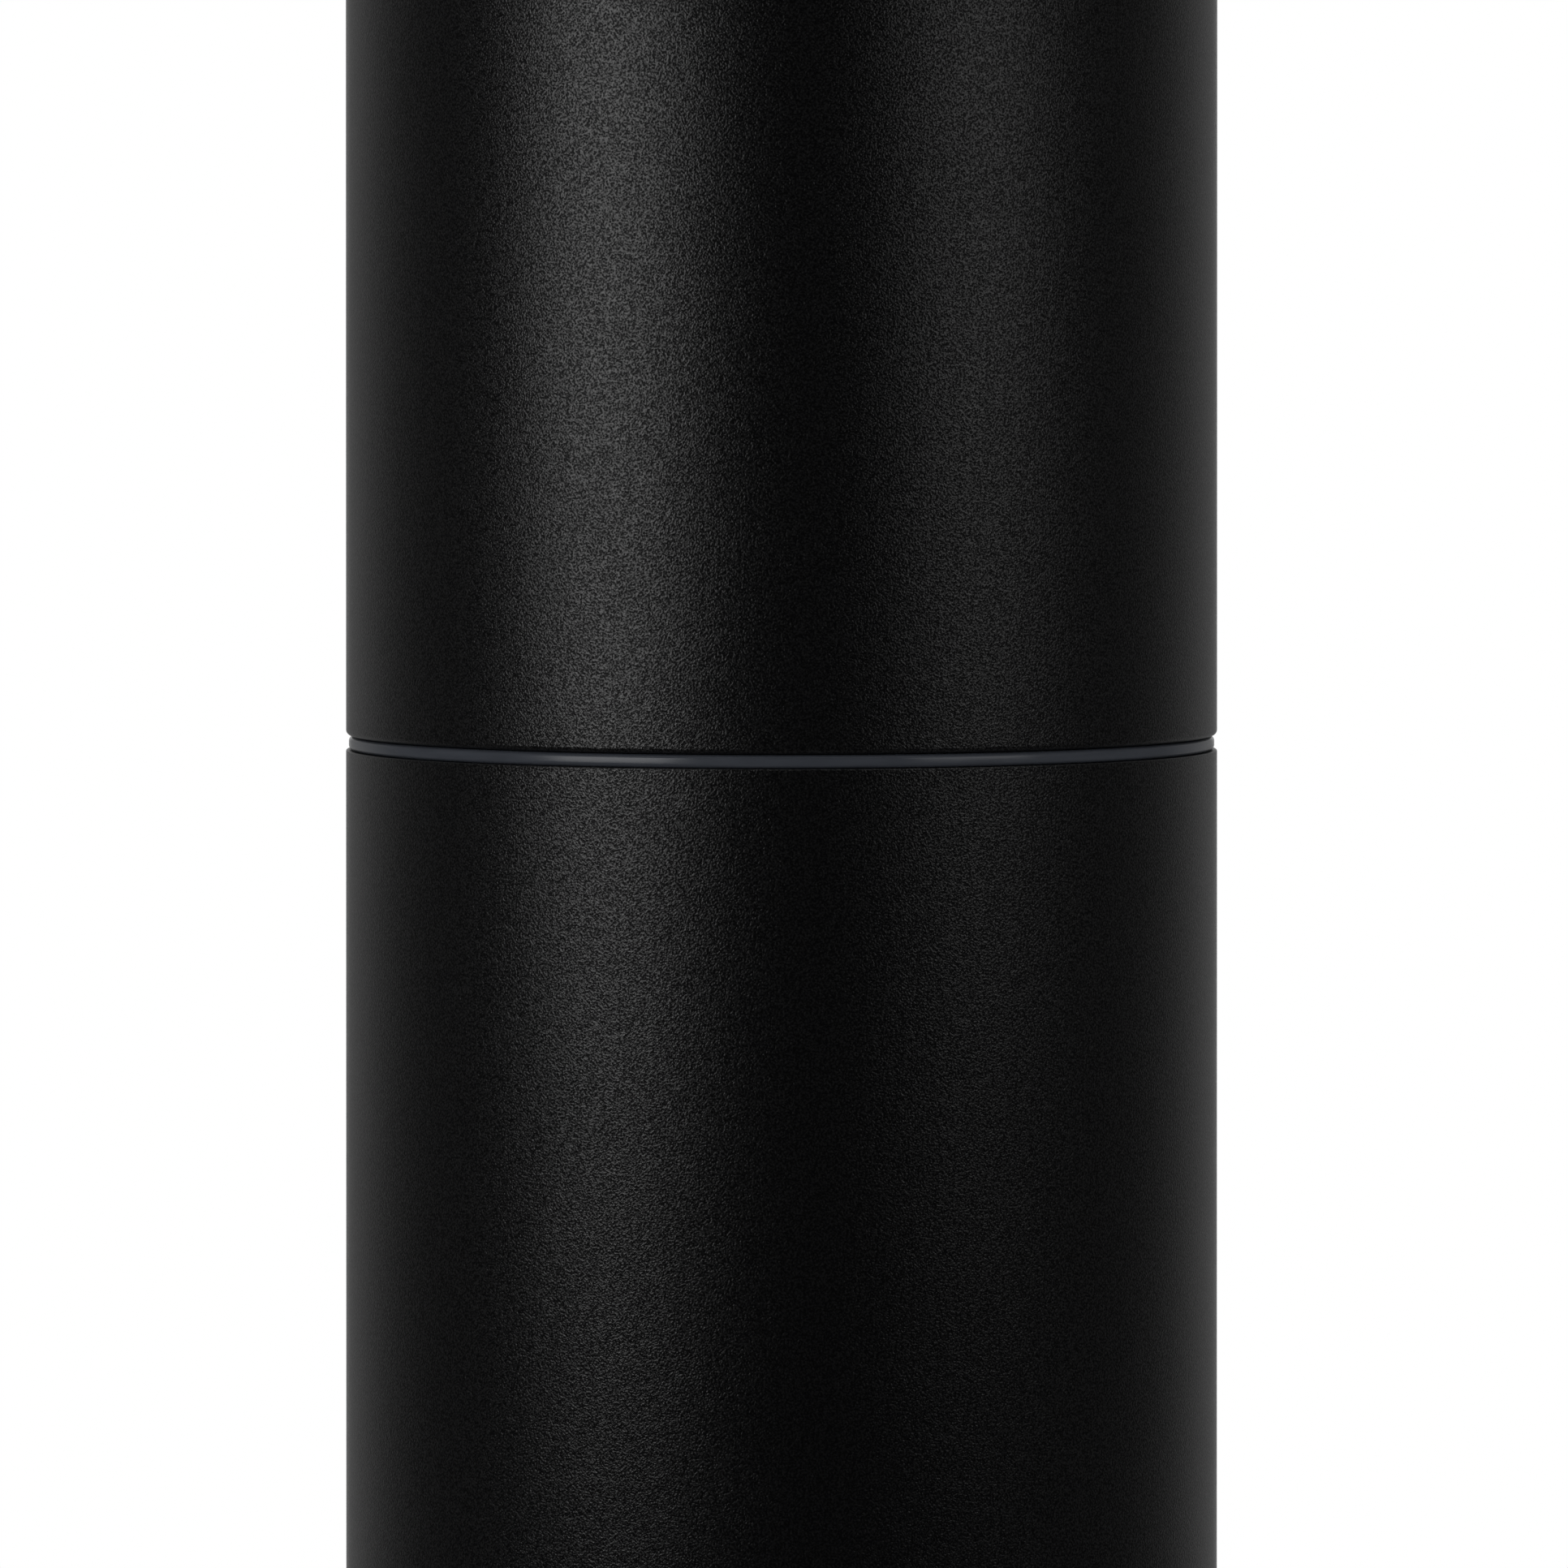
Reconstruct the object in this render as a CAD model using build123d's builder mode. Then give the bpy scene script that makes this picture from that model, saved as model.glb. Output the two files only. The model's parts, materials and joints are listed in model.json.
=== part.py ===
"""Pepper mill: two black cylinders that meet at a rubber ring, with a ceramic grinder in the foot.

The mill stands on its foot at Z = 0, with its axis on Z. All sizes are in millimetres.
The grinder stands at its coarsest setting.
"""

import os
from math import cos, pi, radians, sin, sqrt, tan

from build123d import *

# Overall form
MILL_DIAMETER = 50.0
BODY_HEIGHT = 85.0
HEAD_HEIGHT = 85.0
SEAM_GAP = 0.84

# Shells of the head and the body
SHELL_WALL = 2.0
TOP_THICKNESS = 3.0
RIM_RADIUS = 0.15
TOP_EDGE_RADIUS = 1.2
BOTTOM_EDGE_RADIUS = 0.5

# Clearances, on the radius or per side
FIT_CLEARANCE = 0.05
RUNNING_CLEARANCE = 0.08
LOOSE_CLEARANCE = 0.2
BODY_CLEARANCE = 0.5

# Seam ring between the rims
SEAM_RING_THICKNESS = 0.8
SEAM_RING_RECESS = 0.14

# Neck ring in the mouth of the body, and the washer on top of it
NECK_WALL = 3.5
NECK_DEPTH = 8.0
NECK_SEAT_STEP = 0.5
NECK_RISE = 1.6
GLIDE_THICKNESS = 0.5

# Head core: flange, spigot, skirt, ribs and boss
CORE_FLANGE = 2.5
SPIGOT_LENGTH = 8.0
SPIGOT_WALL = 2.8
SEAL_CORD = 1.5
SEAL_HEIGHT = 3.0
CORE_SKIRT_WALL = 2.0
CORE_SKIRT_HEIGHT = 15.0
BOSS_WALL = 2.4
RIB_COUNT = 6
RIB_THICKNESS = 1.6
SOCKET_LIP = 1.0

# Drive socket and shaft clip in the boss
SOCKET_HEX = 11.0
SOCKET_LENGTH = 12.0
SOCKET_CLEARANCE = 0.15
CLIP_LENGTH = 12.0
CLIP_WIDTH = 4.0
CLIP_THICKNESS = 0.5
CLIP_BEND_RADIUS = 1.0
CLIP_OPENING = 3.0

# Snap lugs that hold the mouldings in the shells
LUG_COUNT = 3
LUG_ARC = 24.0
LUG_HEIGHT = 2.0
LUG_FLAT = 0.6
LUG_PROUD = 0.5
LUG_ROOT = 0.5
LUG_DROP = 4.5
FINGER_ARC = 36.0
SLIT_WIDTH = 1.2
LUG_ANGLE = 30.0

# Foot and grinder housing
FOOT_PROUD = 0.8
FOOT_WIDTH = 2.4
FOOT_GROOVE_DEPTH = 1.4
FOOT_EDGE_RADIUS = 0.4
HOUSING_EDGE = 1.2
LEDGE_THICKNESS = 3.0
LEDGE_WIDTH = 1.5
SKIRT_WALL = 1.5
SKIRT_RELIEF = 1.4

# Stator burr
STATOR_DIAMETER = 29.0
STATOR_HEIGHT = 12.0
STATOR_WALL = 2.2
STATOR_TOP_WALL = 3.0
FINE_HEIGHT = 4.0
FINE_ANGLE = 20.0
KEY_COUNT = 3
KEY_WIDTH = 2.4
KEY_DEPTH = 0.6

# Teeth of both burrs
FINE_TEETH = 36
FINE_TOOTH_DEPTH = 0.4
FINE_TOOTH_WIDTH = 1.2
COARSE_TEETH = 9
COARSE_TOOTH_DEPTH = 1.1
COARSE_TOOTH_WIDTH = 3.0
TOOTH_SKEW = 18.0

# Rotor burr and its hub
BURR_GAP_FINEST = 0.15
ROTOR_OVERHANG = 0.5
ROTOR_TOP_WALL = 1.6
HUB_DIAMETER = 11.2
HUB_HEIGHT = 3.0

# Grind adjuster: pitch and turns of the thread, knob and nut
THREAD_DIAMETER = 5.0
THREAD_PITCH = 0.8
ADJUST_TURNS = 1.5
THREAD_SPARE = 0.4
KNOB_DIAMETER = 14.4
KNOB_POCKET_DEPTH = 4.0
KNOB_RECESS = 0.4
KNOB_LOBES = 8
KNOB_CLEARANCE = 1.0
KNOB_SCALLOP = 1.5
KNOB_SCALLOP_SETBACK = 0.75
KNOB_EDGE_RADIUS = 0.5
KNOB_FLOOR = 1.4
KNOB_DOT_INSET = 3.0
KNOB_DOT_RADIUS = 0.6
KNOB_DOT_DEPTH = 0.3
NUT_HEX = 7.0
NUT_HEIGHT = 3.5

# Drive shaft
SHAFT_SQUARE = 6.0
SHAFT_CORNER_RADIUS = 0.4
SHAFT_TIP_CHAMFER = 0.8
SHAFT_TIP_DROP = 0.6
JOURNAL_DIAMETER = 6.0
DRIVE_FLATS = 5.0

# Bridge, bush and washers that carry the shaft
BRIDGE_THICKNESS = 3.0
ARM_WIDTH = 3.2
BRIDGE_HUB_WALL = 2.0
BUSH_WALL = 1.3
BUSH_LENGTH = 5.7
BUSH_FLANGE_WIDTH = 1.2
BUSH_FLANGE_THICKNESS = 0.8
WASHER_THICKNESS = 0.5

# Burr spring
SPRING_WIRE = 0.7
SPRING_LENGTH = 6.5
SPRING_TURNS = 4.5
SPRING_SIDE_GAP = 0.5
ARCS_PER_TURN = 4

# Bridge screws
SCREW_COUNT = 3
SCREW_HEAD_DIAMETER = 4.6
SCREW_HEAD_HEIGHT = 1.6
SCREW_DIAMETER = 2.5
SCREW_LENGTH = 8.0
SCREW_POINT = 1.0
CROSS_LENGTH = 2.6
CROSS_WIDTH = 0.6
CROSS_DEPTH = 0.9

# Hopper liner
HOPPER_WALL = 1.2
FUNNEL_ANGLE = 45.0
FUNNEL_LIP = 0.6

# Radii from the outside inwards
shell_outer = MILL_DIAMETER / 2
shell_bore = shell_outer - SHELL_WALL
moulding_outer = shell_bore - FIT_CLEARANCE
groove_radius = moulding_outer + LUG_PROUD + FIT_CLEARANCE
neck_bore = shell_bore - NECK_WALL
neck_upstand = shell_bore - BODY_CLEARANCE
spigot_outer = neck_bore - RUNNING_CLEARANCE
spigot_inner = spigot_outer - SPIGOT_WALL
core_skirt_inner = moulding_outer - CORE_SKIRT_WALL
boss_radius = SOCKET_HEX / 2 / cos(pi / 6) + BOSS_WALL
shaft_corner = SHAFT_SQUARE / sqrt(2)
clip_breadth = SHAFT_SQUARE + 2 * (RUNNING_CLEARANCE + CLIP_THICKNESS)
hopper_outer = shell_bore - LOOSE_CLEARANCE
hopper_inner = hopper_outer - HOPPER_WALL

# Radii of the grinder from the burrs outwards
stator_outer = STATOR_DIAMETER / 2
stator_mouth = stator_outer - STATOR_WALL
stator_waist = stator_mouth - FINE_HEIGHT * tan(radians(FINE_ANGLE))
stator_throat = stator_outer - STATOR_TOP_WALL
seat_radius = stator_outer + FIT_CLEARANCE
skirt_inner = moulding_outer - SKIRT_WALL
ring_outer = skirt_inner - SKIRT_RELIEF
screw_circle = (seat_radius + ring_outer) / 2
foot_outer = moulding_outer - HOUSING_EDGE
foot_inner = foot_outer - FOOT_WIDTH

# Radii about the shaft
journal_radius = JOURNAL_DIAMETER / 2
spring_radius = journal_radius + SPRING_SIDE_GAP + SPRING_WIRE / 2
spring_bore = spring_radius + SPRING_WIRE / 2 + SPRING_SIDE_GAP
bush_outer = journal_radius + RUNNING_CLEARANCE + BUSH_WALL
bridge_hub = bush_outer + FIT_CLEARANCE + BRIDGE_HUB_WALL
hub_radius = HUB_DIAMETER / 2
knob_radius = KNOB_DIAMETER / 2
knob_pocket = knob_radius + KNOB_CLEARANCE

# Rotor travel and the gap that it opens between the burrs
rotor_travel = THREAD_PITCH * ADJUST_TURNS
burr_gap = BURR_GAP_FINEST + rotor_travel * tan(radians(FINE_ANGLE))
rotor_base_radius = stator_mouth - burr_gap
rotor_waist_radius = stator_waist - burr_gap
rotor_top_radius = spring_bore + ROTOR_TOP_WALL

# Heights of the grinder, from the table up
stator_low = FOOT_PROUD + LEDGE_THICKNESS
fine_high = stator_low + FINE_HEIGHT
stator_high = stator_low + STATOR_HEIGHT
bridge_high = stator_high + BRIDGE_THICKNESS
rotor_low = stator_low - ROTOR_OVERHANG
hub_low = rotor_low + KNOB_POCKET_DEPTH
hub_high = hub_low + HUB_HEIGHT
rotor_high = stator_high - rotor_travel - BODY_CLEARANCE
knob_low = FOOT_PROUD + KNOB_RECESS
nut_low = hub_low - NUT_HEIGHT
shaft_low = knob_low + KNOB_FLOOR + LOOSE_CLEARANCE + rotor_travel
thread_high = hub_low + rotor_travel + THREAD_SPARE
spring_high = hub_high + SPRING_LENGTH
bush_low = spring_high + WASHER_THICKNESS
bush_high = bush_low + BUSH_LENGTH
thrust_low = bush_high + BUSH_FLANGE_THICKNESS
shoulder = thrust_low + WASHER_THICKNESS
housing_lug_low = stator_high - LUG_DROP

# Heights of the seam, the head and the hopper
body_rim = BODY_HEIGHT
head_rim = body_rim + SEAM_GAP
head_high = head_rim + HEAD_HEIGHT
neck_low = body_rim - NECK_DEPTH
neck_high = body_rim + NECK_RISE
flange_low = neck_high + GLIDE_THICKNESS
flange_high = flange_low + CORE_FLANGE
spigot_low = flange_low - SPIGOT_LENGTH
seal_middle = spigot_low + SEAL_HEIGHT
core_skirt_high = flange_high + CORE_SKIRT_HEIGHT
core_lug_low = core_skirt_high - LUG_DROP
socket_low = flange_low + SOCKET_LIP
socket_high = socket_low + SOCKET_LENGTH
boss_high = socket_high + CLIP_WIDTH
shaft_high = boss_high - SHAFT_TIP_DROP
funnel_slope = tan(radians(FUNNEL_ANGLE))
funnel_high = bridge_high + FUNNEL_LIP + (hopper_inner - stator_throat) * funnel_slope
funnel_under = bridge_high + (hopper_inner - stator_throat - HOPPER_WALL) * funnel_slope


def half_section(inner, outer, low, high, mode=Mode.ADD):
    """Rectangle of a half section, between two radii and two heights."""
    with Locations(((inner + outer) / 2, (low + high) / 2)):
        Rectangle(outer - inner, high - low, mode=mode)


def plain_ring(inner, outer, low, high):
    """Ring with square edges."""
    with BuildPart() as ring:
        with BuildSketch(Plane.XZ):
            half_section(inner, outer, low, high)
        revolve(axis=Axis.Z)
    return ring.part


def snap_lug(low):
    """One lug on the outside of a moulding, chamfered on the side that enters the shell first."""
    root = moulding_outer - LUG_ROOT
    tip = moulding_outer + LUG_PROUD
    high = low + LUG_HEIGHT
    with BuildPart() as lug:
        with BuildSketch(Plane.XZ):
            Polygon(
                (root, low), (tip, low), (tip, low + LUG_FLAT), (moulding_outer, high), (root, high),
                align=None,
            )
        revolve(axis=Axis.Z, revolution_arc=LUG_ARC)
    return lug.part


def tooth_cutter(low, high, width, depth):
    """Skewed V cutter along a working face, from one (radius, height) to another.

    A positive depth cuts outwards from the axis, and a negative one inwards.
    """
    run = Vector(high[0] - low[0], 0, high[1] - low[1])
    along = run.normalized() + Vector(0, tan(radians(TOOTH_SKEW)), 0)
    outward = Vector(run.Z, 0, -run.X)
    middle = ((low[0] + high[0]) / 2, 0, (low[1] + high[1]) / 2)
    with BuildPart() as cutter:
        with BuildSketch(Plane(origin=middle, x_dir=outward, z_dir=along)):
            Polygon((depth, 0), (-depth, width), (-depth, -width), align=None)
        extrude(amount=run.length / 2 + abs(depth), both=True)
    return cutter.part


def double_flat(radius, flats, low, high):
    """Round bar with two flats."""
    with BuildPart() as bar:
        with BuildSketch(Plane.XY.offset(low)):
            Circle(radius)
            Rectangle(2 * radius, flats, mode=Mode.INTERSECT)
        extrude(amount=high - low)
    return bar.part


def bridge_screw():
    """Cheese-head screw with a cross recess, its head on top of Z = 0 and its shank below."""
    shank = SCREW_DIAMETER / 2
    with BuildPart() as screw:
        with BuildSketch(Plane.XZ):
            half_section(0, SCREW_HEAD_DIAMETER / 2, 0, SCREW_HEAD_HEIGHT)
            half_section(0, shank, SCREW_POINT - SCREW_LENGTH, 0)
            Polygon(
                (0, -SCREW_LENGTH), (shank, SCREW_POINT - SCREW_LENGTH), (0, SCREW_POINT - SCREW_LENGTH),
                align=None,
            )
        revolve(axis=Axis.Z)
        with BuildSketch(Plane.XY.offset(SCREW_HEAD_HEIGHT)):
            Rectangle(CROSS_LENGTH, CROSS_WIDTH)
            Rectangle(CROSS_WIDTH, CROSS_LENGTH)
        extrude(amount=-CROSS_DEPTH, mode=Mode.SUBTRACT)
    return screw.part


def helix_point(angle):
    """Point of the spring's centre line after a turn of so many radians."""
    rise = (SPRING_LENGTH / SPRING_TURNS) * angle / (2 * pi)
    return Vector(spring_radius * cos(angle), spring_radius * sin(angle), hub_high + rise)


def helix_tangent(angle):
    """Direction of the spring's centre line at the same place."""
    climb = (SPRING_LENGTH / SPRING_TURNS) / (2 * pi)
    return Vector(-spring_radius * sin(angle), spring_radius * cos(angle), climb).normalized()


def coil_arcs(start_angle, end_angle):
    """Two tangent arcs along one stretch of the spring."""
    start = helix_point(start_angle)
    end = helix_point(end_angle)
    start_way = helix_tangent(start_angle)
    end_way = helix_tangent(end_angle)
    chord = end - start
    lean = chord.dot(start_way + end_way)
    bend = 2 * (1 - start_way.dot(end_way))
    reach = (sqrt(lean * lean + bend * chord.dot(chord)) - lean) / bend
    first = start + start_way * reach
    last = end - end_way * reach
    joint = (first + last) * 0.5
    TangentArc(start, joint, tangent=start_way)
    TangentArc(joint, end, tangent=last - first)


os.makedirs("parts", exist_ok=True)

# Head shell: a cup, closed on top, that is gripped and turned
with BuildPart() as head_shell:
    with BuildSketch(Plane.XZ) as head_section:
        half_section(0, shell_outer, head_rim, head_high)
        fillet(head_section.vertices().group_by(Axis.X)[-1].sort_by(Axis.Y)[-1], TOP_EDGE_RADIUS)
        fillet(head_section.vertices().group_by(Axis.X)[-1].sort_by(Axis.Y)[0], RIM_RADIUS)
        half_section(0, shell_bore, head_rim, head_high - TOP_THICKNESS, mode=Mode.SUBTRACT)
        half_section(
            shell_bore, groove_radius, core_lug_low - FIT_CLEARANCE, core_lug_low + LUG_HEIGHT,
            mode=Mode.SUBTRACT,
        )
    revolve(axis=Axis.Z)
head_shell.part.label = "head_shell"
export_step(head_shell.part, "parts/head_shell.step")

# Body shell: a tube with a seat for the neck ring and a groove for the housing's lugs
with BuildPart() as body_shell:
    with BuildSketch(Plane.XZ) as body_section:
        half_section(shell_bore, shell_outer, FOOT_PROUD, body_rim)
        fillet(body_section.vertices().group_by(Axis.X)[-1].sort_by(Axis.Y)[-1], RIM_RADIUS)
        fillet(body_section.vertices().group_by(Axis.X)[-1].sort_by(Axis.Y)[0], BOTTOM_EDGE_RADIUS)
        half_section(shell_bore, shell_bore + NECK_SEAT_STEP, neck_low, body_rim, mode=Mode.SUBTRACT)
        half_section(
            shell_bore, groove_radius, housing_lug_low - FIT_CLEARANCE, housing_lug_low + LUG_HEIGHT,
            mode=Mode.SUBTRACT,
        )
    revolve(axis=Axis.Z)
body_shell.part.label = "body_shell"
export_step(body_shell.part, "parts/body_shell.step")

# Seam ring: flat rubber ring with a fully rounded outer edge, on the body's rim
with BuildPart() as seam_ring:
    bead = SEAM_RING_THICKNESS / 2
    bead_centre = shell_outer - SEAM_RING_RECESS - bead
    with BuildSketch(Plane.XZ):
        half_section(neck_upstand + FIT_CLEARANCE, bead_centre, body_rim, body_rim + SEAM_RING_THICKNESS)
        with Locations((bead_centre, body_rim + bead)):
            Circle(bead)
    revolve(axis=Axis.Z)
seam_ring.part.label = "seam_ring"
export_step(seam_ring.part, "parts/seam_ring.step")

# Neck ring: collar in the body's mouth, with an upstand that carries the head
with BuildPart() as neck_ring:
    with BuildSketch(Plane.XZ):
        half_section(neck_bore, shell_bore + NECK_SEAT_STEP - FIT_CLEARANCE, neck_low, body_rim)
        half_section(neck_bore, neck_upstand, body_rim, neck_high)
    revolve(axis=Axis.Z)
neck_ring.part.label = "neck_ring"
export_step(neck_ring.part, "parts/neck_ring.step")

# Glide washer: between the neck ring and the turning head
with BuildPart() as glide_washer:
    add(plain_ring(neck_bore + LOOSE_CLEARANCE, neck_upstand - LOOSE_CLEARANCE, neck_high, flange_low))
glide_washer.part.label = "glide_washer"
export_step(glide_washer.part, "parts/glide_washer.step")

# Head core: flange, spigot, skirt with snap fingers, ribs and the boss for the socket
core_lug = snap_lug(core_lug_low)
with BuildPart() as head_core:
    with BuildSketch(Plane.XZ):
        half_section(0, moulding_outer, flange_low, flange_high)
        half_section(spigot_inner, spigot_outer, spigot_low, flange_low)
        half_section(
            spigot_outer - SEAL_CORD, spigot_outer, seal_middle - SEAL_CORD / 2, seal_middle + SEAL_CORD / 2,
            mode=Mode.SUBTRACT,
        )
        half_section(core_skirt_inner, moulding_outer, flange_high, core_skirt_high)
        half_section(0, boss_radius, flange_high, boss_high)
    revolve(axis=Axis.Z)
    rib_length = core_skirt_inner - boss_radius + CORE_SKIRT_WALL
    with Locations((0, 0, flange_high)):
        with PolarLocations((boss_radius + core_skirt_inner) / 2, RIB_COUNT):
            Box(rib_length, RIB_THICKNESS, CORE_SKIRT_HEIGHT, align=(Align.CENTER, Align.CENTER, Align.MIN))
    with PolarLocations(0, LUG_COUNT, start_angle=LUG_ANGLE - LUG_ARC / 2):
        add(core_lug)
    with Locations((0, 0, flange_high)):
        for slit_angle in (LUG_ANGLE - FINGER_ARC / 2, LUG_ANGLE + FINGER_ARC / 2):
            with PolarLocations(moulding_outer - CORE_SKIRT_WALL / 2, LUG_COUNT, start_angle=slit_angle):
                Box(
                    2 * CORE_SKIRT_WALL, SLIT_WIDTH, CORE_SKIRT_HEIGHT,
                    align=(Align.CENTER, Align.CENTER, Align.MIN), mode=Mode.SUBTRACT,
                )
    with BuildSketch(Plane.XY.offset(flange_low)):
        Circle(shaft_corner + BODY_CLEARANCE)
    extrude(amount=SOCKET_LIP, mode=Mode.SUBTRACT)
    with BuildSketch(Plane.XY.offset(socket_low)):
        RegularPolygon(SOCKET_HEX / 2 + FIT_CLEARANCE, 6, major_radius=False)
    extrude(amount=SOCKET_LENGTH, mode=Mode.SUBTRACT)
    with BuildSketch(Plane.XY.offset(socket_high)):
        Rectangle(CLIP_LENGTH + 2 * FIT_CLEARANCE, clip_breadth + 2 * FIT_CLEARANCE)
    extrude(amount=CLIP_WIDTH, mode=Mode.SUBTRACT)
head_core.part.label = "head_core"
export_step(head_core.part, "parts/head_core.step")

# Spigot seal: O-ring in the spigot's groove
with BuildPart() as spigot_seal:
    with BuildSketch(Plane.XZ):
        with Locations((neck_bore - FIT_CLEARANCE - SEAL_CORD / 2, seal_middle)):
            Circle(SEAL_CORD / 2 - FIT_CLEARANCE)
    revolve(axis=Axis.Z)
spigot_seal.part.label = "spigot_seal"
export_step(spigot_seal.part, "parts/spigot_seal.step")

# Drive socket: hexagonal insert with a square hole
with BuildPart() as drive_socket:
    with BuildSketch(Plane.XY.offset(socket_low)):
        RegularPolygon(SOCKET_HEX / 2, 6, major_radius=False)
        Rectangle(
            SHAFT_SQUARE + 2 * SOCKET_CLEARANCE, SHAFT_SQUARE + 2 * SOCKET_CLEARANCE,
            mode=Mode.SUBTRACT,
        )
    extrude(amount=SOCKET_LENGTH)
drive_socket.part.label = "drive_socket"
export_step(drive_socket.part, "parts/drive_socket.step")

# Shaft clip: sprung strip bent round the top of the shaft, open at one end
with BuildPart() as shaft_clip:
    with BuildSketch(Plane.XY.offset(socket_high)):
        RectangleRounded(CLIP_LENGTH, clip_breadth, CLIP_BEND_RADIUS)
        RectangleRounded(
            CLIP_LENGTH - 2 * CLIP_THICKNESS, clip_breadth - 2 * CLIP_THICKNESS,
            CLIP_BEND_RADIUS - CLIP_THICKNESS,
            mode=Mode.SUBTRACT,
        )
        with Locations((CLIP_LENGTH / 2, 0)):
            Rectangle(2 * CLIP_BEND_RADIUS, CLIP_OPENING, mode=Mode.SUBTRACT)
    extrude(amount=CLIP_WIDTH)
shaft_clip.part.label = "shaft_clip"
export_step(shaft_clip.part, "parts/shaft_clip.step")

# Hopper: liner with a funnel floor, between the bridge and the neck ring
with BuildPart() as hopper:
    with BuildSketch(Plane.XZ):
        Polygon(
            (hopper_outer, bridge_high),
            (hopper_outer, neck_low),
            (hopper_inner, neck_low),
            (hopper_inner, funnel_high),
            (stator_throat, bridge_high + FUNNEL_LIP),
            (stator_throat, bridge_high),
            (stator_throat + HOPPER_WALL, bridge_high),
            (hopper_inner, funnel_under),
            (hopper_inner, bridge_high),
            align=None,
        )
    revolve(axis=Axis.Z)
hopper.part.label = "hopper"
export_step(hopper.part, "parts/hopper.step")

# Grinder housing: flange, stator seat with keys, screw holes and a skirt with snap fingers
housing_lug = snap_lug(housing_lug_low)
with BuildPart() as grinder_housing:
    with BuildSketch(Plane.XZ):
        half_section(stator_outer - LEDGE_WIDTH, moulding_outer, FOOT_PROUD, stator_low)
        half_section(seat_radius, ring_outer, stator_low, stator_high)
        half_section(skirt_inner, moulding_outer, stator_low, stator_high)
        half_section(foot_inner, foot_outer, FOOT_PROUD, FOOT_PROUD + FOOT_GROOVE_DEPTH, mode=Mode.SUBTRACT)
    revolve(axis=Axis.Z)
    with Locations((0, 0, stator_low)):
        with PolarLocations(seat_radius, KEY_COUNT, start_angle=LUG_ANGLE):
            Box(2 * KEY_DEPTH, KEY_WIDTH, STATOR_HEIGHT, align=(Align.CENTER, Align.CENTER, Align.MIN))
    with PolarLocations(0, LUG_COUNT, start_angle=LUG_ANGLE - LUG_ARC / 2):
        add(housing_lug)
    with Locations((0, 0, stator_low)):
        for slit_angle in (LUG_ANGLE - FINGER_ARC / 2, LUG_ANGLE + FINGER_ARC / 2):
            with PolarLocations(moulding_outer - SKIRT_WALL / 2, LUG_COUNT, start_angle=slit_angle):
                Box(
                    SKIRT_WALL + SKIRT_RELIEF, SLIT_WIDTH, STATOR_HEIGHT,
                    align=(Align.CENTER, Align.CENTER, Align.MIN), mode=Mode.SUBTRACT,
                )
    with Locations((0, 0, stator_high)):
        with PolarLocations(screw_circle, SCREW_COUNT):
            Hole(SCREW_DIAMETER / 2 + FIT_CLEARANCE, depth=SCREW_LENGTH)
grinder_housing.part.label = "grinder_housing"
export_step(grinder_housing.part, "parts/grinder_housing.step")

# Foot ring: rubber ring in the housing's groove
with BuildPart() as foot_ring:
    with BuildSketch(Plane.XZ) as foot_section:
        half_section(
            foot_inner + FIT_CLEARANCE, foot_outer - FIT_CLEARANCE, 0, FOOT_PROUD + FOOT_GROOVE_DEPTH
        )
        fillet(foot_section.vertices().group_by(Axis.Y)[0], FOOT_EDGE_RADIUS)
    revolve(axis=Axis.Z)
foot_ring.part.label = "foot_ring"
export_step(foot_ring.part, "parts/foot_ring.step")

# Stator burr: fixed ring with coarse teeth above and fine teeth below
stator_fine = tooth_cutter(
    (stator_mouth, stator_low), (stator_waist, fine_high), FINE_TOOTH_WIDTH, FINE_TOOTH_DEPTH
)
stator_coarse = tooth_cutter(
    (stator_waist, fine_high), (stator_throat, stator_high), COARSE_TOOTH_WIDTH, COARSE_TOOTH_DEPTH
)
with BuildPart() as stator_burr:
    with BuildSketch(Plane.XZ):
        Polygon(
            (stator_outer, stator_low),
            (stator_outer, stator_high),
            (stator_throat, stator_high),
            (stator_waist, fine_high),
            (stator_mouth, stator_low),
            align=None,
        )
    revolve(axis=Axis.Z)
    with PolarLocations(0, FINE_TEETH):
        add(stator_fine, mode=Mode.SUBTRACT)
    with PolarLocations(0, COARSE_TEETH):
        add(stator_coarse, mode=Mode.SUBTRACT)
    with Locations((0, 0, stator_low)):
        with PolarLocations(seat_radius, KEY_COUNT, start_angle=LUG_ANGLE):
            Box(
                2 * (KEY_DEPTH + FIT_CLEARANCE), KEY_WIDTH + 2 * FIT_CLEARANCE, STATOR_HEIGHT,
                align=(Align.CENTER, Align.CENTER, Align.MIN), mode=Mode.SUBTRACT,
            )
stator_burr.part.label = "stator_burr"
export_step(stator_burr.part, "parts/stator_burr.step")

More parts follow.
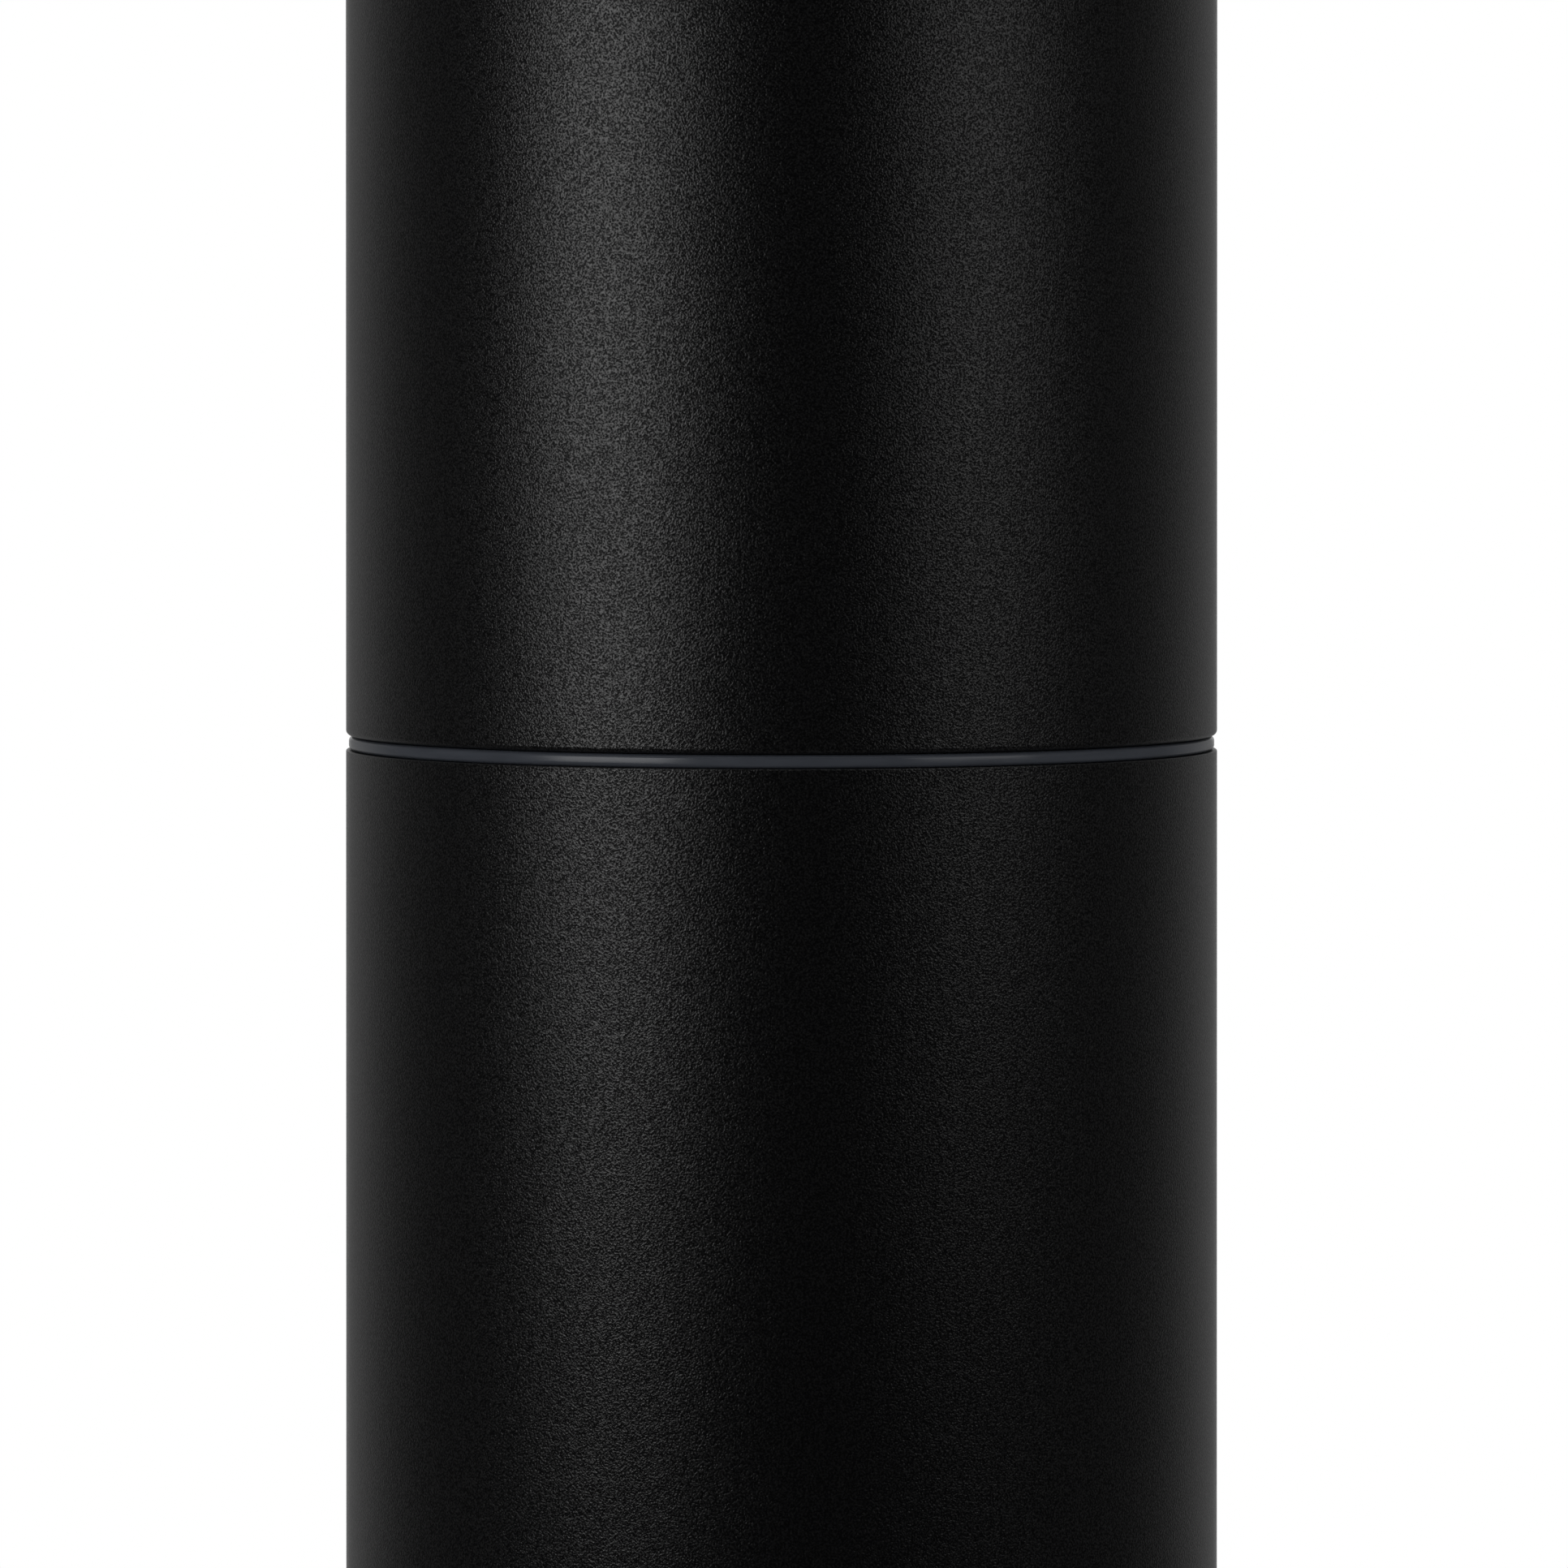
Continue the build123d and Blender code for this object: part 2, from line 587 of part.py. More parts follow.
# Bridge: ring that clamps the stator, three arms and the hub for the bush
with BuildPart() as bridge:
    with BuildSketch(Plane.XY.offset(stator_high)):
        Circle(ring_outer)
        Circle(stator_throat, mode=Mode.SUBTRACT)
        with PolarLocations(stator_throat / 2, SCREW_COUNT):
            Rectangle(stator_throat + STATOR_TOP_WALL, ARM_WIDTH)
        Circle(bridge_hub)
    extrude(amount=BRIDGE_THICKNESS)
    with BuildSketch(Plane.XY.offset(stator_high)):
        Circle(bridge_hub)
    extrude(amount=bush_high - stator_high)
    with BuildSketch(Plane.XY.offset(bush_high)):
        Circle(bush_outer + FIT_CLEARANCE)
    extrude(amount=stator_high - bush_high, mode=Mode.SUBTRACT)
    with Locations((0, 0, bridge_high)):
        with PolarLocations(screw_circle, SCREW_COUNT):
            CounterBoreHole(
                SCREW_DIAMETER / 2 + FIT_CLEARANCE,
                SCREW_HEAD_DIAMETER / 2 + FIT_CLEARANCE,
                SCREW_HEAD_HEIGHT,
            )
bridge.part.label = "bridge"
export_step(bridge.part, "parts/bridge.step")

# Bridge screws: three alike, with their heads sunk flush in the bridge
screw = bridge_screw()
with BuildPart() as bridge_screws:
    with Locations((0, 0, bridge_high - SCREW_HEAD_HEIGHT)):
        with PolarLocations(screw_circle, SCREW_COUNT):
            add(screw)
bridge_screws.part.label = "bridge_screws"
export_step(bridge_screws.part, "parts/bridge_screws.step")

# Shaft bush: flanged sleeve that the shaft turns in
with BuildPart() as shaft_bush:
    with BuildSketch(Plane.XZ):
        half_section(journal_radius + RUNNING_CLEARANCE, bush_outer, bush_low, bush_high)
        half_section(
            journal_radius + RUNNING_CLEARANCE, bush_outer + BUSH_FLANGE_WIDTH, bush_high, thrust_low
        )
    revolve(axis=Axis.Z)
shaft_bush.part.label = "shaft_bush"
export_step(shaft_bush.part, "parts/shaft_bush.step")

# Drive shaft: square above, a round journal, drive flats and the thread's core below
drive_bar = double_flat(journal_radius, DRIVE_FLATS, thread_high, spring_high)
with BuildPart() as drive_shaft:
    with BuildSketch(Plane.XZ):
        Polygon(
            (0, shaft_low),
            (THREAD_DIAMETER / 2 - THREAD_PITCH / 2, shaft_low),
            (THREAD_DIAMETER / 2, shaft_low + THREAD_PITCH / 2),
            (THREAD_DIAMETER / 2, thread_high),
            (0, thread_high),
            align=None,
        )
        half_section(0, journal_radius, spring_high, shoulder)
    revolve(axis=Axis.Z)
    add(drive_bar)
    with BuildSketch(Plane.XY.offset(shoulder)):
        RectangleRounded(SHAFT_SQUARE, SHAFT_SQUARE, SHAFT_CORNER_RADIUS)
    extrude(amount=shaft_high - shoulder)
    with BuildSketch(Plane.XZ):
        Polygon(
            (SHAFT_SQUARE / 2, shaft_high), (shaft_corner, shaft_high),
            (shaft_corner, shaft_high - SHAFT_TIP_CHAMFER),
            align=None,
        )
    revolve(axis=Axis.Z, mode=Mode.SUBTRACT)
drive_shaft.part.label = "drive_shaft"
export_step(drive_shaft.part, "parts/drive_shaft.step")

# Thrust washer: under the shaft's shoulder
with BuildPart() as thrust_washer:
    add(plain_ring(journal_radius + RUNNING_CLEARANCE, bush_outer + BUSH_FLANGE_WIDTH, thrust_low, shoulder))
thrust_washer.part.label = "thrust_washer"
export_step(thrust_washer.part, "parts/thrust_washer.step")

# Spring washer: between the bush and the spring
with BuildPart() as spring_washer:
    add(plain_ring(journal_radius + RUNNING_CLEARANCE, bush_outer, spring_high, bush_low))
spring_washer.part.label = "spring_washer"
export_step(spring_washer.part, "parts/spring_washer.step")

# Burr spring: one wire, wound over the shaft, with both ends ground flat
coil_stretches = round(SPRING_TURNS * ARCS_PER_TURN)
stretch_angle = 2 * pi / ARCS_PER_TURN
with BuildPart() as burr_spring:
    with BuildLine() as coil:
        for stretch in range(coil_stretches):
            coil_arcs(stretch * stretch_angle, (stretch + 1) * stretch_angle)
    with BuildSketch(Plane(origin=helix_point(0), x_dir=(1, 0, 0), z_dir=helix_tangent(0))):
        Circle(SPRING_WIRE / 2)
    sweep(path=coil.wire())
    split(bisect_by=Plane.XY.offset(hub_high), keep=Keep.TOP)
    split(bisect_by=Plane.XY.offset(spring_high), keep=Keep.BOTTOM)
burr_spring.part.label = "burr_spring"
export_step(burr_spring.part, "parts/burr_spring.step")

# Rotor burr: cone with fine teeth at the base and coarse teeth above
rotor_fine = tooth_cutter(
    (rotor_base_radius, stator_low), (rotor_waist_radius, fine_high), FINE_TOOTH_WIDTH, -FINE_TOOTH_DEPTH
)
rotor_coarse = tooth_cutter(
    (rotor_waist_radius, fine_high), (rotor_top_radius, rotor_high),
    COARSE_TOOTH_WIDTH, -COARSE_TOOTH_DEPTH,
)
with BuildPart() as rotor_burr:
    with BuildSketch(Plane.XZ):
        Polygon(
            (knob_pocket, rotor_low),
            (rotor_base_radius, rotor_low),
            (rotor_base_radius, stator_low),
            (rotor_waist_radius, fine_high),
            (rotor_top_radius, rotor_high),
            (spring_bore, rotor_high),
            (spring_bore, hub_high),
            (hub_radius + FIT_CLEARANCE, hub_high),
            (hub_radius + FIT_CLEARANCE, hub_low),
            (knob_pocket, hub_low),
            align=None,
        )
    revolve(axis=Axis.Z)
    with PolarLocations(0, FINE_TEETH):
        add(rotor_fine, mode=Mode.SUBTRACT)
    with PolarLocations(0, COARSE_TEETH):
        add(rotor_coarse, mode=Mode.SUBTRACT)
    with Locations((0, 0, hub_low)):
        with PolarLocations(hub_radius, KEY_COUNT):
            Box(
                2 * (KEY_DEPTH + FIT_CLEARANCE), KEY_WIDTH + 2 * FIT_CLEARANCE, HUB_HEIGHT,
                align=(Align.CENTER, Align.CENTER, Align.MIN), mode=Mode.SUBTRACT,
            )
rotor_burr.part.label = "rotor_burr"
export_step(rotor_burr.part, "parts/rotor_burr.step")

# Rotor hub: keyed core of the rotor, with a flatted bore that slides on the shaft
hub_hole = double_flat(
    journal_radius + RUNNING_CLEARANCE, DRIVE_FLATS + 2 * RUNNING_CLEARANCE, hub_low, hub_high
)
with BuildPart() as rotor_hub:
    with BuildSketch(Plane.XY.offset(hub_low)):
        Circle(hub_radius)
        with PolarLocations(hub_radius, KEY_COUNT):
            Rectangle(2 * KEY_DEPTH, KEY_WIDTH)
    extrude(amount=HUB_HEIGHT)
    add(hub_hole, mode=Mode.SUBTRACT)
rotor_hub.part.label = "rotor_hub"
export_step(rotor_hub.part, "parts/rotor_hub.step")

# Adjuster knob: lobed knob with a pocket for the nut and a dot that marks the setting
with BuildPart() as adjuster_knob:
    with BuildSketch(Plane.XY.offset(knob_low)):
        Circle(knob_radius)
        with PolarLocations(knob_radius + KNOB_SCALLOP_SETBACK, KNOB_LOBES, start_angle=180 / KNOB_LOBES):
            Circle(KNOB_SCALLOP, mode=Mode.SUBTRACT)
    extrude(amount=hub_low - knob_low)
    fillet(adjuster_knob.faces().sort_by(Axis.Z)[0].edges(), KNOB_EDGE_RADIUS)
    with BuildSketch(Plane.XY.offset(hub_low)):
        RegularPolygon(NUT_HEX / 2 + FIT_CLEARANCE, 6, major_radius=False)
    extrude(amount=-NUT_HEIGHT, mode=Mode.SUBTRACT)
    with BuildSketch(Plane.XY.offset(nut_low)):
        Circle(THREAD_DIAMETER / 2 + LOOSE_CLEARANCE)
    extrude(amount=knob_low + KNOB_FLOOR - nut_low, mode=Mode.SUBTRACT)
    with BuildSketch(Plane.XY.offset(knob_low)):
        with Locations((knob_radius - KNOB_DOT_INSET, 0)):
            Circle(KNOB_DOT_RADIUS)
    extrude(amount=KNOB_DOT_DEPTH, mode=Mode.SUBTRACT)
adjuster_knob.part.label = "adjuster_knob"
export_step(adjuster_knob.part, "parts/adjuster_knob.step")

# Adjuster nut: hexagonal insert that runs on the shaft's thread
with BuildPart() as adjuster_nut:
    with BuildSketch(Plane.XY.offset(nut_low)):
        RegularPolygon(NUT_HEX / 2, 6, major_radius=False)
        Circle(THREAD_DIAMETER / 2 + RUNNING_CLEARANCE, mode=Mode.SUBTRACT)
    extrude(amount=NUT_HEIGHT)
adjuster_nut.part.label = "adjuster_nut"
export_step(adjuster_nut.part, "parts/adjuster_nut.step")
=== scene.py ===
"""Straight pepper mill: its finishes, its turned and moulded forms, and the studio stage that it stands on.

All lengths are in metres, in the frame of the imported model: the mill's axis is Z, and its foot stands on Z = 0.
"""

import json
import math

import bmesh
import bpy
from bpy.props import FloatProperty, FloatVectorProperty, IntProperty, PointerProperty
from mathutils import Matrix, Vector, noise


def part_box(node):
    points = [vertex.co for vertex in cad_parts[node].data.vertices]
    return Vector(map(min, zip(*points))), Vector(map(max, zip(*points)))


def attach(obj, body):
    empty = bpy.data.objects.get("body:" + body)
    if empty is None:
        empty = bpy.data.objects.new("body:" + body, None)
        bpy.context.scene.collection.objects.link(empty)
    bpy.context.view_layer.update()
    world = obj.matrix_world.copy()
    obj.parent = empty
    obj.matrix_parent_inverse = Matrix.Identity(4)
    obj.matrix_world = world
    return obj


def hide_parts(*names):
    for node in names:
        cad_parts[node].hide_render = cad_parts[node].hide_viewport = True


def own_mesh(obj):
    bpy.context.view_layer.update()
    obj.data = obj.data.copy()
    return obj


bl_info = {
    "name": "Straight Pepper Mill",
    "version": (1, 0, 0),
    "blender": (4, 5, 0),
    "location": "3D View > Sidebar > Mill",
    "description": "Dresses the pieces of a straight pepper mill and stands it in a small studio",
    "category": "Object",
}

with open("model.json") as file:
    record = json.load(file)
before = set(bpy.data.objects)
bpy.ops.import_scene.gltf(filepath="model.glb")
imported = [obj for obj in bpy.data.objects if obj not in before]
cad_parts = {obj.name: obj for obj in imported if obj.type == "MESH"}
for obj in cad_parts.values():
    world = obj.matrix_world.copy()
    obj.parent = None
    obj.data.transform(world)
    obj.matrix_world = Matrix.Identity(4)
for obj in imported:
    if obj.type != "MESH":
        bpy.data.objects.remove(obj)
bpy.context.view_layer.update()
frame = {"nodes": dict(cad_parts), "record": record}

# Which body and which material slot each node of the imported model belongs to
BODY_OF = {node: body for body, nodes in frame["record"]["behaviour"]["bodies"].items() for node in nodes}
SLOT_OF = {part["node"]: part["material_slot"] for part in frame["record"]["subparts"]}

MM = 0.001

# Steps of a round corner
CORNER_STEPS = 8
# Past the first angle an edge between two faces shows as an edge; below the second they are one flat face
SHARP_EDGE = math.radians(32)
FLAT_EDGE = math.radians(0.4)
# Points that lie closer than this are one point
SAME_POINT = 0.0005 * MM

# Sockets of Blender's Mix node when it mixes colours
MIX_FACTOR, MIX_FIRST, MIX_SECOND, MIX_RESULT = 0, 6, 7, 2


def linear(code):
    """Linear colour of an sRGB hex value such as "#1A2B3C"."""
    shares = [int(code[place:place + 2], 16) / 255 for place in (1, 3, 5)]
    return tuple(v / 12.92 if v <= 0.04045 else ((v + 0.055) / 1.055) ** 2.4 for v in shares)


def length(name, description, millimetres):
    """Property for a length, given in millimetres and kept in metres."""
    return FloatProperty(
        name=name, description=description, default=millimetres * MM, min=0, precision=5, unit="LENGTH"
    )


def colour(name, description, code):
    """Property for a colour, given as an sRGB hex value."""
    return FloatVectorProperty(
        name=name, description=description, default=linear(code), min=0, max=1, size=3, subtype="COLOR"
    )


class MillSizes(bpy.types.PropertyGroup):
    """Sizes of the mill's forms that its solids' boxes don't give."""

    shell_wall: length("Shell wall", "Wall of the head and body shells", 2.0)
    top_thickness: length("Top thickness", "Thickness of the head's closed top", 3.0)
    head_rim_round: length("Head rim round", "Rounding of the head's rim at the seam", 0.3)
    body_rim_round: length("Body rim round", "Rounding of the body's rim at the seam", 0.1)
    ring_top_round: length("Ring top round", "Rounding of the seam ring's upper edge", 0.3)
    ring_foot_round: length("Ring foot round", "Rounding of the seam ring's lower edge", 0.28)
    top_round: length("Top round", "Rounding of the head's top edge", 1.2)
    bottom_round: length("Bottom round", "Rounding of the body's bottom edge", 0.5)
    bore_break: length("Bore break", "Broken edge at the shells' bores", 0.1)
    hopper_wall: length("Hopper wall", "Wall of the hopper and its funnel", 1.2)
    spring_wire: length("Spring wire", "Wire of the burr spring", 0.7)
    moulded_round: length("Moulded round", "Rounding of moulded edges", 0.18)
    metal_round: length("Metal round", "Rounding of tumbled metal edges", 0.1)
    ceramic_round: length("Ceramic round", "Rounding of sintered edges", 0.06)
    oil_film: length("Oil film", "Film of oil between the bush and the washers that turn on it", 0.02)
    coat_grain: length("Coat grain", "Size of one grain of the powder coat", 0.115)
    coat_relief: length("Coat relief", "Height of the powder coat's grain", 0.035)
    turned_steps: IntProperty(
        name="Turned steps", description="Faces around a turned piece", default=320, min=32
    )


class MillColours(bpy.types.PropertyGroup):
    """Colours of the mill's materials."""

    coat: colour("Coat", "Powder coat of the shells", "#070708")
    slate: colour("Slate rubber", "Rubber of the seam ring", "#32353B")
    rubber: colour("Black rubber", "Rubber of the foot and the seal", "#161617")
    acetal: colour("Acetal", "Moulded black plastic", "#222225")
    glide: colour("Glide plastic", "Skived white plastic of the washer", "#E6E5DF")
    hopper: colour("Polypropylene", "Natural plastic of the hopper", "#DDDFD9")
    ceramic: colour("Ceramic", "Sintered ceramic of the burrs", "#E9E3D6")
    nylon: colour("Nylon", "Glass-filled nylon of the bridge", "#2B2C2E")
    aluminium: colour("Aluminium", "Drawn bar of the shaft", "#D9DADC")
    bronze: colour("Bronze", "Sintered bush", "#B58A55")
    zinc_plate: colour("Zinc plate", "Plating of the screws", "#CFD3D9")
    stainless: colour("Stainless steel", "Stamped washers", "#C6C6C4")
    spring_steel: colour("Spring steel", "Wire and strip", "#A9AAAD")
    die_cast: colour("Die-cast zinc", "Drive socket", "#B4B7BC")
    brass: colour("Brass", "Adjuster nut", "#D8B36A")


class MillStudio(bpy.types.PropertyGroup):
    """Camera and light of the studio."""

    camera_distance: length("Camera distance", "From the camera to the mill's axis", 4000)
    camera_height: FloatProperty(
        name="Camera height", description="How far above level the camera looks from",
        default=math.radians(2.648), subtype="ANGLE",
    )
    picture_width: length("Picture width", "Width of the picture at the mill's axis", 90.01)
    picture_middle: length("Picture middle", "Height of the mill in the middle of the picture", 83.0)
    picture_aside: length("Picture aside", "How far the picture's middle lies right of the axis", 0.14)
    left_power: FloatProperty(name="Left lamp", description="Softbox on the left", default=0.0735, unit="POWER")
    right_power: FloatProperty(name="Right lamp", description="Softbox on the right", default=0.0245, unit="POWER")
    top_power: FloatProperty(name="Top lamp", description="Softbox overhead", default=3.0, unit="POWER")
    under_power: FloatProperty(name="Under lamp", description="Softbox below the floor", default=1.5, unit="POWER")
    surround: FloatProperty(
        name="Surround", description="Brightness around the white backdrop, as the mill's surfaces see it",
        default=0.24, min=0,
    )
    fill: FloatProperty(
        name="Fill", description="Brightness of the dark room in front, as the mill's surfaces see it",
        default=0.01, min=0,
    )
    side: FloatProperty(
        name="Side", description="Brightness of the room's side walls, as the mill's surfaces see it",
        default=0.066, min=0,
    )
    ground: FloatProperty(
        name="Ground", description="Brightness straight down, as the mill's surfaces see it",
        default=0.1, min=0,
    )
    ambient: FloatProperty(
        name="Ambient", description="Even light from all sides on matt surfaces", default=0.6, min=0,
    )


def rounded(*corners):
    """Outline through (radius, height, rounding) corners, with an arc at each corner that has a rounding."""
    points = []
    for number, (radius, height, rounding) in enumerate(corners):
        corner = Vector((radius, height))
        if not rounding:
            points.append(corner)
            continue
        back = (Vector(corners[number - 1][:2]) - corner).normalized()
        ahead = (Vector(corners[(number + 1) % len(corners)][:2]) - corner).normalized()
        half = back.angle(ahead) / 2
        centre = corner + (back + ahead).normalized() * rounding / math.sin(half)
        start = corner + back * rounding / math.tan(half) - centre
        end = corner + ahead * rounding / math.tan(half) - centre
        for step in range(CORNER_STEPS + 1):
            points.append(centre + start.slerp(end, step / CORNER_STEPS) * rounding)
    return [point for number, point in enumerate(points) if (point - points[number - 1]).length > SAME_POINT]


def ring_corners(inner, outer, low, high, rounding):
    """Corners of a plain ring's half section, all with the same rounding."""
    return [(outer, low, rounding), (outer, high, rounding), (inner, high, rounding), (inner, low, rounding)]


def new_piece(name, shape):
    """Object from a bmesh, with normals outwards and its edges shaded sharp past a set angle."""
    bmesh.ops.recalc_face_normals(shape, faces=shape.faces)
    mesh = bpy.data.meshes.new(name)
    shape.to_mesh(mesh)
    shape.free()
    mesh.shade_smooth()
    mesh.set_sharp_from_angle(angle=SHARP_EDGE)
    piece = bpy.data.objects.new(name, mesh)
    bpy.context.scene.collection.objects.link(piece)
    # Broad faces rule the shading, so that small rounds don't tilt the walls beside them
    piece.modifiers.new("Even shading", "WEIGHTED_NORMAL").keep_sharp = True
    return piece


def turned(name, outline, shift=None):
    """Piece turned about Z from a closed outline; a point on the axis becomes a pole.

    shift(angle, point) may move a point of the outline a little at each angle.
    """
    steps = bpy.context.scene.mill_sizes.turned_steps
    shape = bmesh.new()
    rows = []
    for point in outline:
        if point.x < SAME_POINT:
            rows.append([shape.verts.new((0, 0, point.y))] * steps)
            continue
        row = []
        for step in range(steps):
            angle = 2 * math.pi * step / steps
            radius, height = shift(angle, point) if shift else point
            row.append(shape.verts.new((radius * math.cos(angle), radius * math.sin(angle), height)))
        rows.append(row)
    for here, there in zip(rows, rows[1:] + rows[:1]):
        for step in range(steps):
            after = (step + 1) % steps
            around = [here[step], here[after], there[after], there[step]]
            corners = list(dict.fromkeys(around))
            if len(corners) > 2:
                shape.faces.new(corners)
    return new_piece(name, shape)


def softened(name, node, rounding):
    """Copy of a node's solid whose facets are joined where flat and whose edges are rounded."""
    solid = frame["nodes"][node].data
    mesh = bpy.data.meshes.new(name)
    mesh.from_pydata([v.co for v in solid.vertices], [], [list(p.vertices) for p in solid.polygons])
    shape = bmesh.new()
    shape.from_mesh(mesh)
    bpy.data.meshes.remove(mesh)
    bmesh.ops.remove_doubles(shape, verts=shape.verts, dist=SAME_POINT)
    bmesh.ops.dissolve_limit(shape, angle_limit=FLAT_EDGE, verts=shape.verts, edges=shape.edges)
    sharp = [edge for edge in shape.edges if edge.is_manifold and edge.calc_face_angle() > SHARP_EDGE]
    bmesh.ops.bevel(
        shape, geom=sharp, offset=rounding, offset_type="OFFSET", segments=2, profile=0.5, affect="EDGES",
        clamp_overlap=True,
    )
    return new_piece(name, shape)


def stand_for(piece, node):
    """Put a piece in a node's place: on the node's body, in the node's finish."""
    piece.data.materials.append(finish(SLOT_OF[node]))
    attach(piece, BODY_OF[node])
    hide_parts(node)
    return piece


def round_extent(node):
    """Outer radius, lowest and highest point of a round node."""
    low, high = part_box(node)
    return high.x, low.z, high.z


def add(tree, kind, links=None, **settings):
    """Add a node with its settings; links fills its sockets, each from another socket or with a value."""
    node = tree.nodes.new("ShaderNode" + kind)
    for name, value in settings.items():
        setattr(node, name, value)
    for name, value in (links or {}).items():
        if isinstance(value, bpy.types.NodeSocket):
            tree.links.new(value, node.inputs[name])
        else:
            node.inputs[name].default_value = value
    return node


def per_metre(millimetres):
    """Pattern scale that makes one cell of so many millimetres."""
    return 1 / (millimetres * MM)


def opaque(rgb):
    """Colour with full alpha, as a node's colour socket takes it."""
    return (*rgb, 1)


def shaded(rgb, share):
    """A colour made lighter or darker by a share, with full alpha."""
    return (*(min(1, part * share) for part in rgb), 1)


def around_axis(tree, per_radian, across):
    """Place on a turned piece, in cells: so many to a radian around it, and of so many millimetres across it."""
    split = add(tree, "SeparateXYZ", {"Vector": add(tree, "TexCoord").outputs["Object"]}).outputs
    turn = add(tree, "Math", {0: split["Y"], 1: split["X"]}, operation="ARCTAN2").outputs[0]
    flat = add(tree, "CombineXYZ", {"X": split["X"], "Y": split["Y"]}).outputs[0]
    reach = add(tree, "VectorMath", {0: flat}, operation="LENGTH").outputs["Value"]
    along = add(tree, "Math", {0: turn, 1: per_radian}, operation="MULTIPLY").outputs[0]
    out = add(tree, "Math", {0: reach, 1: per_metre(across)}, operation="MULTIPLY").outputs[0]
    up = add(tree, "Math", {0: split["Z"], 1: per_metre(across)}, operation="MULTIPLY").outputs[0]
    return add(tree, "CombineXYZ", {"X": along, "Y": out, "Z": up}).outputs[0]


def powder_coat(tree, colours, sizes):
    """Polyester powder, sprayed on aluminium and baked to a fine sandy texture.

    It gives a deep dull black, broken by tiny glints where a grain tilts towards a lamp.
    """
    place = add(tree, "TexCoord").outputs["Object"]
    # Turned askew, so that the noise's own lattice doesn't line up with the mill's axis
    askew = add(tree, "Mapping", {"Vector": place, "Rotation": (0.6, 0.45, 0.8)}).outputs["Vector"]
    grain = add(
        tree, "TexNoise",
        {"Vector": askew, "Scale": 1 / sizes.coat_grain, "Detail": 1.0, "Roughness": 0.5},
    ).outputs["Fac"]
    relief = add(tree, "Bump", {"Height": grain, "Distance": sizes.coat_relief, "Strength": 1.0})
    # Grain tone with painted shade: the base colour is darker in the grain's pits than on its crests
    grain_tone_and_pit_shade = add(tree, "MapRange", {"Value": grain, "From Min": 0.3, "From Max": 0.7}).outputs[0]
    tone = add(
        tree, "Mix",
        {MIX_FACTOR: grain_tone_and_pit_shade, MIX_FIRST: shaded(colours.coat, 0.6), MIX_SECOND: shaded(colours.coat, 1.3)},
        data_type="RGBA",
    ).outputs[MIX_RESULT]
    drift = add(tree, "TexNoise", {"Vector": place, "Scale": per_metre(18), "Detail": 2.0}).outputs["Fac"]
    dull = add(tree, "MapRange", {"Value": drift, "To Min": 0.28, "To Max": 0.33}).outputs[0]
    # Painted shade: light that falls between the grains is lost there, so the specular tint makes the pits reflect
    # less than the crests
    painted_pit_shade = add(
        tree, "MapRange", {"Value": grain, "From Min": 0.41, "From Max": 0.66, "To Min": 0.12, "To Max": 1.0}
    ).outputs[0]
    return add(
        tree, "BsdfPrincipled",
        {
            "Base Color": tone, "Roughness": dull, "IOR": 1.5, "Specular IOR Level": 0.9,
            "Specular Tint": painted_pit_shade, "Normal": relief.outputs["Normal"],
        },
    )


def slate_rubber(tree, colours, sizes):
    """Silicone rubber, moulded smooth: dark slate with a satin face and faint wiped streaks along the ring."""
    streaks = add(
        tree, "TexNoise",
        {"Vector": around_axis(tree, per_radian=9.0, across=0.35), "Scale": 1.0, "Detail": 4.0, "Roughness": 0.6},
    ).outputs["Fac"]
    tone = add(
        tree, "Mix",
        {MIX_FACTOR: streaks, MIX_FIRST: shaded(colours.slate, 0.75), MIX_SECOND: shaded(colours.slate, 1.3)},
        data_type="RGBA",
    ).outputs[MIX_RESULT]
    satin = add(tree, "MapRange", {"Value": streaks, "To Min": 0.13, "To Max": 0.32}).outputs[0]
    relief = add(tree, "Bump", {"Height": streaks, "Distance": 0.01 * MM, "Strength": 0.6})
    return add(
        tree, "BsdfPrincipled",
        {"Base Color": tone, "Roughness": satin, "IOR": 1.5, "Normal": relief.outputs["Normal"]},
    )


def black_rubber(tree, colours, sizes):
    """Nitrile rubber, moulded in a blasted tool: dead matt, with a bloom of pale dust in its pores."""
    place = add(tree, "TexCoord").outputs["Object"]
    pores = add(
        tree, "TexNoise", {"Vector": place, "Scale": per_metre(0.12), "Detail": 3.0, "Roughness": 0.6}
    ).outputs["Fac"]
    bloom = add(tree, "TexNoise", {"Vector": place, "Scale": per_metre(5), "Detail": 4.0}).outputs["Fac"]
    dusty = add(tree, "MapRange", {"Value": bloom, "From Min": 0.45, "From Max": 0.8}).outputs[0]
    tone = add(
        tree, "Mix",
        {MIX_FACTOR: dusty, MIX_FIRST: opaque(colours.rubber), MIX_SECOND: shaded(colours.rubber, 2.2)},
        data_type="RGBA",
    ).outputs[MIX_RESULT]
    relief = add(tree, "Bump", {"Height": pores, "Distance": 0.015 * MM, "Strength": 0.7})
    return add(
        tree, "BsdfPrincipled",
        {"Base Color": tone, "Roughness": 0.72, "IOR": 1.52, "Normal": relief.outputs["Normal"]},
    )


